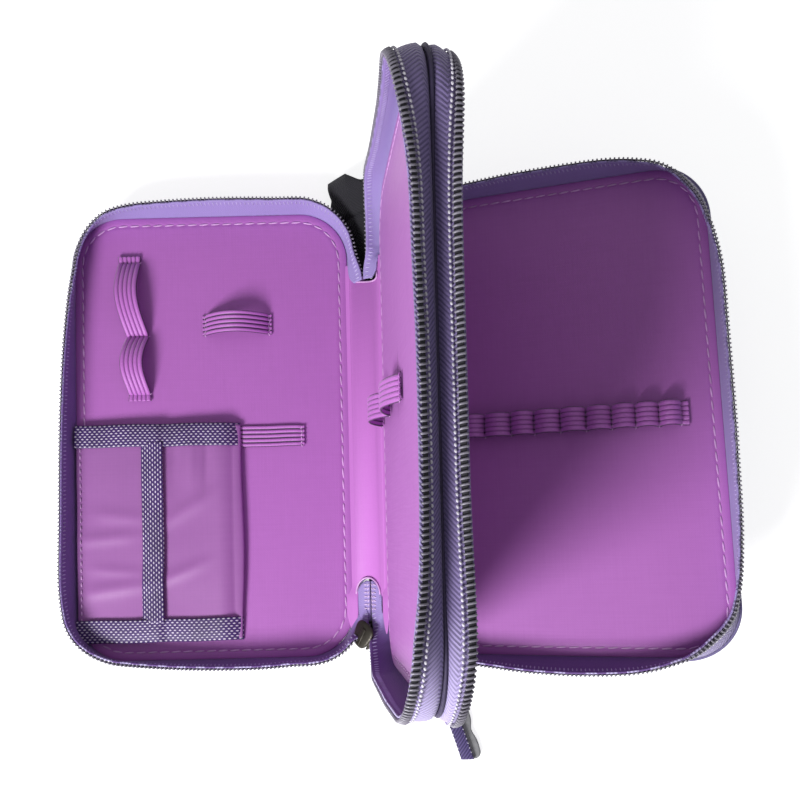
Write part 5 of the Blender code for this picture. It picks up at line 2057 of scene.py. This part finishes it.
@dataclass
class ZipSlider:
    """Cast slider with its bail, in a frame on the strip under its middle."""

    name: str
    strip: LeafFrame
    body: Body
    palette: Palette
    zip_line: float = 0.0100
    rest: float = 0.0840
    length: float = 0.0118
    width: float = 0.0100
    plate: float = 0.0015
    slant: float = math.radians(33.0)
    roof: float = 0.0030
    floor: float = -0.0022
    rounding: float = 0.0004
    power: float = 0.72
    flare: float = 0.20

    def wing(self, level: float) -> Object:
        """One plate of the slider, wide at its mouth and narrow at its heel."""
        turn = full_turn(40)
        corner = self.rounding
        low = ((2 * corner, 0.0), (corner * 0.3, corner), (0.0, corner * 1.6))
        high = tuple((inset, self.plate - height) for inset, height in reversed(low))
        rows = []
        for inset, height in low + high:
            x, y = (
                np.sign(wave) * np.abs(wave) ** self.power * (size / 2 - inset)
                for wave, size in ((np.cos(turn), self.width), (np.sin(turn), self.length))
            )
            x = x * (1 + self.flare * y / (self.length / 2))
            rows.append(np.stack([x, y, np.full(len(turn), level + height)], axis=1))
        marks = np.repeat(
            pairs(np.linspace(0, 0.03, len(turn) + 1), np.zeros(1))[None, :, 0], len(rows), axis=0,
        )
        return solid_through("plate", np.array(rows), marks)

    def build(self) -> None:
        """Build the slider."""
        roof = self.wing(self.roof)
        ridge = add_block(
            "ridge", (0.0, -0.0008, self.roof + self.plate), (0.0022, self.length * 0.72, 0.0009),
        )
        pick(ridge, lambda spot: spot.z > self.roof + self.plate, faces=True)
        bpy.ops.mesh.inset(thickness=0.0006, depth=0.0)
        leave_edit()
        soften(ridge, 0.0003)
        parts = [roof, ridge, self.wing(self.floor)]
        for side in (-1.0, 1.0):
            flange = add_block(
                "flange", (side * (self.width / 2 - 0.0007), -0.0012, self.roof - 0.0006),
                (0.0008, 0.0068, 0.0016),
            )
            parts.append(soften(flange, 0.0002))
        post = add_block("post", (0.0, -0.0040, 0.0008), (0.0006, 0.0016, 0.0054))
        parts.append(soften(post, 0.0002))
        clear_selection()
        bpy.ops.mesh.primitive_torus_add(
            major_segments=24, minor_segments=8, major_radius=0.0025, minor_radius=0.00055,
            location=(0.0, 0.0, self.floor), rotation=(0.0, math.pi / 2, 0.0),
        )
        bail = bpy.context.object
        settle_place(bail)
        pick(bail, lambda spot: spot.z > self.floor + 0.0004)
        bpy.ops.mesh.delete(type="VERT")
        leave_edit()
        pick(bail, lambda spot: spot.z > self.floor - 0.0001)
        bpy.ops.mesh.edge_face_add()
        leave_edit()
        parts.append(bail)
        slider = join(f"{self.name}_cast", parts)
        place = self.strip.matrix(self.zip_line + 0.0016, -self.rest - 0.0044, 0.0)
        slider.data.transform(place @ turned_by(self.slant))
        turn_outwards(slider)
        smooth(slider)
        self.palette.dress(slider, "dark_metal")
        finish_piece(slider, self.body, "slider_metal", self.name)


@dataclass
class ZipPull:
    """Metal tab, webbing ribbon and rubber tag that hang from a slider."""

    name: str
    strip: LeafFrame
    body: Body
    palette: Palette
    heading: float
    side_reach: float
    lift_reach: float
    twist: float
    tag_shift: float
    zip_line: float = 0.0100
    rest: float = 0.0840
    drop: float = 0.0034
    tab_width: float = 0.0058
    tab_length: float = 0.0150
    tab_thickness: float = 0.0012
    ribbon_width: float = 0.0100
    ribbon_thickness: float = 0.0014
    ribbon_start: float = 0.0070
    ribbon_length: float = 0.0500
    bend_start: float = 0.0070
    bend_power: float = 0.7
    tag_width: float = 0.0075
    tag_length: float = 0.0262

    def frame(self) -> Matrix:
        """Matrix at the bail's middle, X across and Y along the zip."""
        return self.strip.matrix(self.zip_line, -self.rest, -self.drop)

    def tab(self) -> None:
        """Flat metal tab with a window."""
        middle = self.heading * (self.tab_length - 0.0007) / 2
        plate = add_block(
            "tab", (0.0, middle, 0.0),
            (self.tab_width, self.tab_length + 0.0007, self.tab_thickness),
        )
        pick(plate, lambda spot: spot.y * self.heading > self.tab_length * 0.6)
        bpy.ops.transform.resize(value=(0.7, 1.0, 1.0))
        leave_edit()
        soften(plate, 0.0004, 3)
        hole = add_block("hole", (0.0, self.heading * 0.0024, 0.0), (0.0029, 0.0034, 0.004))
        cut(plate, hole)
        plate.name = f"{self.name}_metal_tab"
        plate.data.transform(self.frame())
        turn_outwards(plate)
        smooth(plate)
        self.palette.dress(plate, "dark_metal")
        finish_piece(plate, self.body, "slider_metal", f"{self.name}_tab")

    def stations(self, count: int) -> tuple[Array, Array, Array, Array]:
        """Centres, width directions, normals and distances along the ribbon."""
        share = np.linspace(0.0, 1.0, count)
        t = self.ribbon_start + self.ribbon_length * share
        end = self.ribbon_start + self.ribbon_length
        late = np.clip((t - self.bend_start) / (end - self.bend_start), 0.0, 1.0)
        bend = late ** self.bend_power
        level = self.tab_thickness / 2 + 0.0003 + self.ribbon_thickness / 2
        mirror = -1.0 if self.body is Body.LEFT_PULL else 1.0
        centre = np.stack(
            [mirror * self.side_reach * bend, self.heading * t, self.lift_reach * bend - level],
            axis=1,
        )
        angle = mirror * self.twist * late
        across = np.stack([np.cos(angle), np.zeros(count), -np.sin(angle)], axis=1)
        normal = np.stack([np.sin(angle), np.zeros(count), np.cos(angle)], axis=1)
        return centre, across, normal, t

    def band(self) -> Object:
        """Band of webbing along the ribbon's line with a crowned section."""
        centre, across, normal, t = self.stations(90)
        share = np.linspace(0.0, 1.0, 13)
        side = -self.ribbon_width / 2 + self.ribbon_width * share
        crown = 0.00018 * np.sin(math.pi * share)
        points = (
            centre[:, None, :] + across[:, None, :] * side[None, :, None]
            + normal[:, None, :] * crown[None, :, None]
        )
        marks = pairs(t, share * self.ribbon_width)
        made = thicken(surface(f"{self.name}_webbing", points, marks), self.ribbon_thickness * 0.8)
        made.data.transform(self.frame())
        return made

    def bead(self, name: str, side: float, start: float) -> Object:
        """Every second bead of the ribbon's edge, from a start between two of them."""
        centre, across, normal, _ = self.stations(60)
        spots = (np.arange(26) + start) / 26.5
        share = np.linspace(0.0, 1.0, 60)
        middle = centre + across * side
        along = unit(np.gradient(middle, axis=0))
        columns = [
            np.stack([np.interp(spots, share, values[:, k]) for k in range(3)], axis=1)
            for values in (along, np.cross(normal, along), normal, middle)
        ]
        made = scatter(
            name, ZipKit().dash(0.0011, 0.0009, 0.0015), matrices(columns[:3], columns[3]),
        )
        made.data.transform(self.frame())
        return made

    def ribbon(self) -> None:
        """Webbing ribbon with beaded edges."""
        half = self.ribbon_width / 2
        band = self.band()
        self.palette.dress(band, "pull_webbing")
        finish_piece(band, self.body, "ribbon", f"{self.name}_ribbon")
        for side in (-1.0, 1.0):
            for start, tag, finish in ((0.0, "pale", "white_thread"), (0.5, "dark", "core_cord")):
                name = f"{self.name}_bead_{tag}_{'left' if side < 0 else 'right'}"
                bead = self.bead(name, side * (half - 0.0003), start)
                self.palette.dress(bead, finish)
                finish_piece(bead, self.body, "ribbon")

    def tag(self) -> None:
        """Soft two-lobed tag beside the ribbon's end."""
        centre, across, normal, t = self.stations(61)
        start = 1.0 - self.tag_length / self.ribbon_length
        keep = np.linspace(0.0, 1.0, 61) >= start
        centre, across, normal, t = centre[keep], across[keep], normal[keep], t[keep]
        share = np.linspace(0.0, 1.0, len(t))
        waist = 1.0 - 0.34 * np.exp(-(((share - 0.5) / 0.13) ** 2))
        tip, heel = (
            np.sqrt(np.clip(1 - np.clip(over, 0, 1) ** 2, 0.05, 1))
            for over in ((share - 0.86) / 0.15, (0.12 - share) / 0.13)
        )
        rounding = tip * heel
        columns = np.linspace(-0.5, 0.5, 11)
        width = self.tag_width * waist * rounding
        level = -(self.ribbon_thickness + 0.0008) / 2 - 0.0003 + 0.0002 * np.cos(math.pi * columns)
        side = self.tag_shift - 0.0024 * share[:, None] + width[:, None] * columns[None, :]
        points = (
            centre[:, None, :] + across[:, None, :] * side[..., None]
            + normal[:, None, :] * level[None, :, None]
        )
        marks = pairs(t, columns)
        tag = thicken(surface(f"{self.name}_rubber_tag", points, marks), 0.0008)
        tag.data.transform(self.frame())
        self.palette.dress(tag, "grey_rubber")
        finish_piece(tag, self.body, "tag_rubber", f"{self.name}_tag")

    def build(self) -> None:
        """Build the whole pull."""
        self.tab()
        self.ribbon()
        self.tag()


@dataclass
class GrabTab:
    """Folded webbing tab at the upper end of the left strip."""

    strip: LeafFrame
    palette: Palette
    width: float = 0.0230
    right_side: float = 0.0002
    under: float = -0.0024
    notch_bottom: float = 0.0650
    lift_start: float = 0.0855
    reach: float = 0.0275
    lift: float = 0.0115
    shift: float = 0.0040
    thickness: float = 0.0014
    table_gap: float = 0.0016
    shares: tuple[tuple[float, float, float], ...] = (
        (0.25, 0.17, 0.25), (0.59, 0.50, 0.67), (0.82, 0.83, 1.0), (1.0, 1.0, 1.0),
    )
    widths: tuple[tuple[float, ...], tuple[float, ...]] = (
        (0.0, 0.3, 0.45, 0.72, 0.85, 1.0), (0.0190, 0.0205, 0.0310, 0.0302, 0.0236, 0.0228),
    )

    def build(self) -> None:
        """Build the tab."""
        clear = self.under - 0.0025
        route = [(self.notch_bottom - 0.011, 0.0, self.under), (self.notch_bottom, 0.0, self.under)]
        route += [(0.0756, 0.0, clear), (self.lift_start, 0.0, clear)]
        for out, aside, up in self.shares:
            route.append(
                (self.lift_start + self.reach * out, self.shift * aside, clear + self.lift * up)
            )
        line = smooth_path(np.array(route), 90, 2)
        across = np.linspace(-0.5, 0.5, 15)
        share = np.linspace(0.0, 1.0, 90)
        late = np.clip((share - 0.8) / 0.2, 0, 1)[:, None] ** 2
        point = (0.0040 * (1 - np.abs(across) * 2) - 0.0024 - 0.0058 * (0.5 - across)) * late
        y = line[:, :1] + point
        wide = np.interp(share, *self.widths)[:, None]
        b = self.right_side + line[:, 1:2] * 0.3 + (across[None, :] + 0.5) * wide
        fold = np.exp(-(((share[:, None] - 0.70 + 0.10 * across[None, :]) / 0.022) ** 2))
        crown = 0.0005 * np.cos(math.pi * across)[None, :]
        n = line[:, 2:] - self.thickness / 2 + crown - 0.0010 * fold
        points = self.strip.world(b, y, n)
        points[..., 2] = np.maximum(points[..., 2], self.table_gap)
        run = run_along(line)
        marks = pairs(run, across * self.width)
        tab = thicken(surface("grab_tab_webbing", points, marks), self.thickness)
        self.palette.dress(tab, "black_webbing")
        finish_piece(tab, self.strip.body, "strap_webbing", "grab_tab")


# The divider's outer edge.


@dataclass
class EdgeBinding:
    """Dark binding sunk in the groove between the divider's two tapes."""

    left: LeafFrame
    right: LeafFrame
    rim: Rim
    palette: Palette
    wall: Wall
    width: float = 0.0013
    offset: float = 0.0012

    def build(self) -> None:
        """Build the binding."""
        along = np.linspace(0.0, self.rim.length, RIM_STEPS)
        shares = np.linspace(0.0, 1.0, 7)
        middle = (np.array(self.left.origin) + np.array(self.right.origin)) / 2
        shape = LeafFrame(Vector(middle), self.right.along, self.right.facing, Body.DIVIDER)
        level = (shares - 0.5) * self.width + 0.0015
        puff = self.wall.keyed(along / self.rim.length)[2][:, None]
        rise = self.offset - 0.0014 * (2 * shares[None, :] - 1) ** 2 + puff
        points = shape.beside(*self.rim.at(along), rise, level[None, :])
        binding = thicken(surface("divider_edge_cord", points, pairs(along, level)), 0.0005)
        self.palette.dress(binding, "seam_cloth")
        finish_piece(binding, Body.DIVIDER, "shell_cloth", "divider_edge_binding")


# Studio.


@dataclass
class Studio:
    """Camera at the photograph's place, white floor and soft light."""

    eye: tuple[float, float, float] = (0.087115, -0.049448, 0.377763)
    turn: tuple[float, float, float] = (1.983, -0.032, -1.412)
    lens: float = 37.873
    shift: tuple[float, float] = (-0.01536, 0.14216)
    key_from: tuple[float, float, float] = (-0.49, -0.67, 0.55)
    key_distance: float = 0.8
    key_size: float = 0.31
    key_power: float = 8.1
    world_level: float = 0.36
    floor_glow: float = 0.68

    def camera(self) -> None:
        """Place the camera."""
        data = bpy.data.cameras.new("photo_camera")
        data.sensor_width = 36.0
        data.lens = self.lens
        data.shift_x, data.shift_y = self.shift
        data.clip_start = 0.01
        camera = bpy.data.objects.new("photo_camera", data)
        camera.location = self.eye
        camera.rotation_euler = [math.radians(angle) for angle in self.turn]
        bpy.context.scene.collection.objects.link(camera)
        bpy.context.scene.camera = camera

    def floor(self) -> None:
        """Lay the white floor."""
        clear_selection()
        bpy.ops.mesh.primitive_plane_add(size=6.0, location=(0.08, 0.0, -0.0001))
        floor = bpy.context.object
        floor.name = "floor"
        material = bpy.data.materials.new("white_floor")
        material.use_nodes = True
        graph = Graph(material.node_tree)
        shader = material.node_tree.nodes["Principled BSDF"]
        shader.inputs["Base Color"].default_value = (0.86, 0.86, 0.86, 1.0)
        shader.inputs["Roughness"].default_value = 0.9
        shader.inputs["Emission Color"].default_value = (1.0, 1.0, 1.0, 1.0)
        path = graph.node("ShaderNodeLightPath")
        seen = graph.math("MAXIMUM", path.outputs["Is Camera Ray"], path.outputs["Is Glossy Ray"])
        graph.feed(shader.inputs["Emission Strength"], graph.times(seen, self.floor_glow))
        floor.data.materials.append(material)

    def light(self) -> None:
        """Set the key light and the even surround."""
        toward = Vector(self.key_from).normalized()
        data = bpy.data.lights.new("key", "AREA")
        data.energy = self.key_power
        data.size = self.key_size
        data.shape = "DISK"
        lamp = bpy.data.objects.new("key", data)
        lamp.location = Vector((0.06, 0.0, 0.03)) + toward * self.key_distance
        lamp.rotation_euler = toward.to_track_quat("Z", "Y").to_euler()
        bpy.context.scene.collection.objects.link(lamp)
        world = bpy.data.worlds.new("studio")
        world.use_nodes = True
        bpy.context.scene.world = world
        graph = Graph(world.node_tree)
        back = world.node_tree.nodes["Background"]
        back.inputs[0].default_value = (0.97, 0.98, 1.0, 1.0)
        path = graph.node("ShaderNodeLightPath")
        graph.feed(
            back.inputs[1],
            graph.span(path.outputs["Is Camera Ray"], 0.0, 1.0, self.world_level, 1.0),
        )
        bpy.context.scene.view_settings.view_transform = "Standard"

    def build(self) -> None:
        """Set up the whole studio."""
        self.camera()
        self.floor()
        self.light()


# Shapes of the zips' toothed edges as seen in the photograph. Each row is a share of the rim's
# length, then the outward shift, the drop and the outward shift of the foot, in millimetres.


LEFT_EDGE = (
    (0.02, 0, 0, 0), (0.04, 0.4, 0, 0), (0.06, -0.8, 0, 0), (0.07, -1.2, 0, 0),
    (0.08, -1.6, 0, 0), (0.12, -0.4, 0, 0), (0.16, -0.5, 0, 0), (0.20, -1.3, 0, 0),
    (0.24, -3.0, 0.2, 0), (0.265, -4.5, 0.4, 0), (0.285, -4.2, 0.4, 0), (0.30, -2.9, 0.2, 0),
    (0.32, -1.5, 0, 0), (0.34, 0.2, 0, 0), (0.36, 0.8, 0, 0), (0.40, 0.6, 0, 0),
    (0.44, 0.2, 0, 0), (0.48, -0.2, 0, 0), (0.52, -0.6, 0, 0), (0.56, -1.5, 0, 0),
    (0.60, -3.0, 0.2, 0), (0.64, -5.0, 0.6, 0), (0.66, -6.7, 1.2, 0), (0.68, -8.2, 1.8, 0),
    (0.70, -8.2, 1.8, 0), (0.72, -6.4, 1.2, 0), (0.74, -3.9, 0.4, 0), (0.76, -1.3, 0, 0),
    (0.80, -0.2, 0, 0), (0.84, 0.3, 0, 0), (0.88, 0.2, 0, 0), (0.91, -0.3, 0, 0),
    (0.93, 0, 0, 0), (0.955, 1.3, 0, 0), (0.975, 1.9, 0, 0), (0.99, 1.9, 0, 0),
)
RIGHT_EDGE = (
    (0.04, -1.5, 0, 0), (0.08, -0.5, 0, 0), (0.12, 1.9, 0, 0), (0.16, 2.8, 0, 0),
    (0.20, 2.0, 0, 0), (0.22, 1.0, 0, 0), (0.24, -1.4, 0, 0), (0.26, -5.4, 1.0, 0),
    (0.28, -8.4, 1.8, 0), (0.30, -8.4, 1.8, 0), (0.32, -6.0, 1.2, 0), (0.34, -3.2, 0.4, 0),
    (0.36, -1.6, 0, 0), (0.40, -0.3, 0, 0), (0.44, 0.1, 0, 0), (0.48, 0.5, 0, 0),
    (0.52, 0.3, 0, 0), (0.60, 0.4, 0, 0), (0.62, 0.2, 0, 0), (0.64, -1.0, 0, 0),
    (0.66, -3.2, 0.4, 0), (0.68, -6.4, 1.2, 0), (0.70, -8.0, 1.8, 0), (0.72, -7.4, 1.6, 0),
    (0.74, -5.4, 0.8, 0), (0.76, -2.8, 0.2, 0), (0.78, -1.3, 0, 0), (0.80, -0.7, 0, 0),
    (0.88, -0.7, 0, 0), (0.92, -2.0, 0, 0),
)
FACE_EDGE = (
    (0.04, 0, -0.5, 0), (0.08, 0, -1.1, 1.0), (0.20, 0, -1.2, 3.2), (0.26, -1.5, -0.6, 3.4),
    (0.28, -2.5, 0, 2.8), (0.32, -1.5, 0, 1.0), (0.36, 0, 0, 0), (0.52, 0, -0.3, 0),
    (0.57, 0, -1.2, 0), (0.62, 0, -0.9, 0), (0.66, -2.0, 0, 1.2), (0.69, -4.5, 0, 3.2),
    (0.72, -5.6, 0, 3.9), (0.75, -4.5, 0.5, 3.8), (0.80, -2.0, 1.3, 3.0),
    (0.88, -0.8, 1.3, 1.5), (0.93, 0, 0.4, 0.5), (1.0, 0, 0, 0),
)
BACK_EDGE = (
    (0.04, 0, 0, 0), (0.08, 0.8, 0, 1.0), (0.16, 2.6, 0, 2.6), (0.20, 3.5, 0, 3.4),
    (0.24, 3.2, 0.8, 3.6), (0.26, 2.0, 2.0, 3.2), (0.28, 1.0, 2.1, 2.3), (0.30, 0, 1.2, 1.5),
    (0.33, 0, -0.2, 0.5), (0.38, 0, -0.6, 0), (0.50, 0, -0.6, 0), (0.62, 0, -0.3, 0),
    (0.66, -1.0, 0, 1.2), (0.69, -2.8, 0.3, 3.2), (0.72, -3.3, 0.3, 3.9), (0.75, -2.4, 0, 3.8),
    (0.80, -1.0, 0, 3.0), (0.88, 0, 0, 1.5), (0.93, 0, 0, 0.5), (1.0, 0, 0, 0),
)


def build_leaves(
    frames: CaseFrames, palette: Palette, zipper: ZipKit, rim: Rim,
) -> dict[str, PaddedLeaf]:
    """Build the two covers and the two faces of the divider.

    Args:
        frames: Frames of the leaves.
        palette: Finishes.
        zipper: Zip sizes.
        rim: Path of the zips.

    Returns:
        The leaves by name.
    """
    common = {"flare": 0.0022, "low": (0.95, 0.7), "end_flares": (0.0036, 0.0008), "bulge": 0.0011}
    walls = {
        "left_cover": Wall(frames.left_cover, 0.0105, 0.0, -0.0006, edge=LEFT_EDGE, seed=1.0),
        "right_cover": Wall(frames.right_cover, 0.0117, 0.0, -0.0006, edge=RIGHT_EDGE, seed=2.0),
        "divider_left": Wall(
            frames.divider_left, 0.0080, 0.0006, -0.0034, lean=math.radians(50.0), lean_width=0.22,
            edge=FACE_EDGE, seed=3.0, **common,
        ),
        "divider_right": Wall(
            frames.divider_right, 0.0080, 0.0006, -0.0004, lean=math.radians(30.0), edge=BACK_EDGE,
            seed=4.0, **common,
        ),
    }
    leaves = {}
    for index, (name, wall) in enumerate(walls.items()):
        if name in ("left_cover", "divider_left"):
            strip, width = frames.left_strip, frames.left_width
        else:
            strip, width = frames.right_strip, frames.right_width
        leaf = PaddedLeaf(
            name, wall.leaf, strip, width, palette, zipper, rim, wall, seed=1.0 + index,
        )
        leaf.lining(f"{name}_lining")
        leaf.stitches()
        leaf.zip(f"{name}_zip_tape", f"{name}_zip_teeth")
        if wall.leaf.body is not Body.DIVIDER:
            leaf.shell(f"{name}_shell")
            leaf.welt()
        leaves[name] = leaf
    return leaves


def build_elastics(frames: CaseFrames, palette: Palette, zipper: ZipKit) -> None:
    """Build all elastic holders."""
    cover, face = frames.left_cover, frames.divider_left
    common = (palette, zipper)
    RibbedElastic(
        "double_loop_band", cover, *common, (0.0970, 0.0190), (0.0255, 0.0330), (0.0062, 0.0062),
        False,
        "left_cover_double_loop", drift=(-0.0045, -0.0041, -0.0006), lean=0.0016, seed=1.0,
    ).build()
    RibbedElastic(
        "raised_loop_band", cover, *common, (0.0350, 0.0490), (0.0282,), (0.0072,), True,
        "left_cover_raised_loop", tail=0.0012, seed=2.0,
    ).build()
    RibbedElastic(
        "flat_band", cover, *common, (0.0215, -0.0007), (0.0270,), (0.0,), True,
        "left_cover_flat_elastic", tail=0.0012, seed=3.0,
    ).build()
    RibbedElastic(
        "divider_loop_band", face, *common, (0.0060, 0.0045), (0.0290, 0.0330), (0.0068, 0.0050),
        True,
        "divider_loop_strip", seed=4.0,
    ).build()
    spans = (0.0101, 0.0115, 0.0099, 0.0110, 0.0107, 0.0104, 0.0095, 0.0092, 0.0086)
    RibbedElastic(
        "pencil_loop_band", frames.right_cover, *common, (0.0147, 0.0000), spans, (0.0058,) * 9,
        True,
        "right_cover_pencil_loops", power=0.42, lap=0.0013, seed=5.0,
    ).build()


def fitted_padding(node: str, leaf: LeafFrame, palette: Palette) -> None:
    """Put a cover's hidden padding in place again with the same slight taper as its shell."""
    solid = frame["nodes"][node]
    mesh = solid.data.copy()
    made = bpy.data.objects.new(f"{node}_foam", mesh)
    bpy.context.scene.collection.objects.link(made)
    for vertex in mesh.vertices:
        spot = solid.matrix_world @ vertex.co
        away = spot - leaf.origin
        fitted = leaf.world(
            np.array(away.dot(leaf.along)), np.array(spot.y), np.array(away.dot(leaf.facing)),
        )
        vertex.co = Vector(fitted.tolist())
    turn_outwards(made)
    mesh.materials.clear()
    palette.dress(made, "foam_board")
    finish_piece(made, leaf.body, "stiffener_board", node)


def dress_hidden(palette: Palette, frames: CaseFrames) -> None:
    """Give the stiff pieces inside the case their finish."""
    for name in ("divider_board", "left_cover_padding"):
        palette.dress(frame["nodes"][name], "foam_board")
    fitted_padding("right_cover_padding", frames.right_cover, palette)


def main() -> None:
    """Build the case in order and set up the studio."""
    logging.basicConfig(level=logging.INFO, format="%(name)s %(message)s")
    frames = CaseFrames(frame["joints"])
    palette = Palette()
    zipper = ZipKit()
    rim = Rim()
    Studio().build()
    leaves = build_leaves(frames, palette, zipper, rim)
    EdgeBinding(
        frames.divider_left, frames.divider_right, rim, palette, leaves["divider_left"].wall,
    ).build()
    strips = (
        ("left", frames.left_strip, frames.left_width, "left_cover", "divider_left"),
        ("right", frames.right_strip, frames.right_width, "right_cover", "divider_right"),
    )
    for name, strip, width, cover, face in strips:
        FoldingStrip(name, strip, width, (leaves[cover], leaves[face]), palette, zipper).build()
    build_elastics(frames, palette, zipper)
    FlapPocket(frames.left_cover, palette, zipper).build()
    ZipSlider("left_slider", frames.left_strip, Body.LEFT_SLIDER, palette).build()
    ZipSlider("right_slider", frames.right_strip, Body.RIGHT_SLIDER, palette).build()
    ZipPull(
        "left_pull", frames.left_strip, Body.LEFT_PULL, palette, 1.0, 0.0, 0.0, 0.0, 0.0,
    ).build()
    ZipPull(
        "right_pull", frames.right_strip, Body.RIGHT_PULL, palette, -1.0, 0.0232, 0.0100,
        -math.radians(42.0), 0.0047, ribbon_width=0.0056, ribbon_length=0.0545, tag_width=0.0085,
    ).build()
    GrabTab(frames.left_strip, palette).build()
    dress_hidden(palette, frames)


if __name__ == "__main__":
    main()
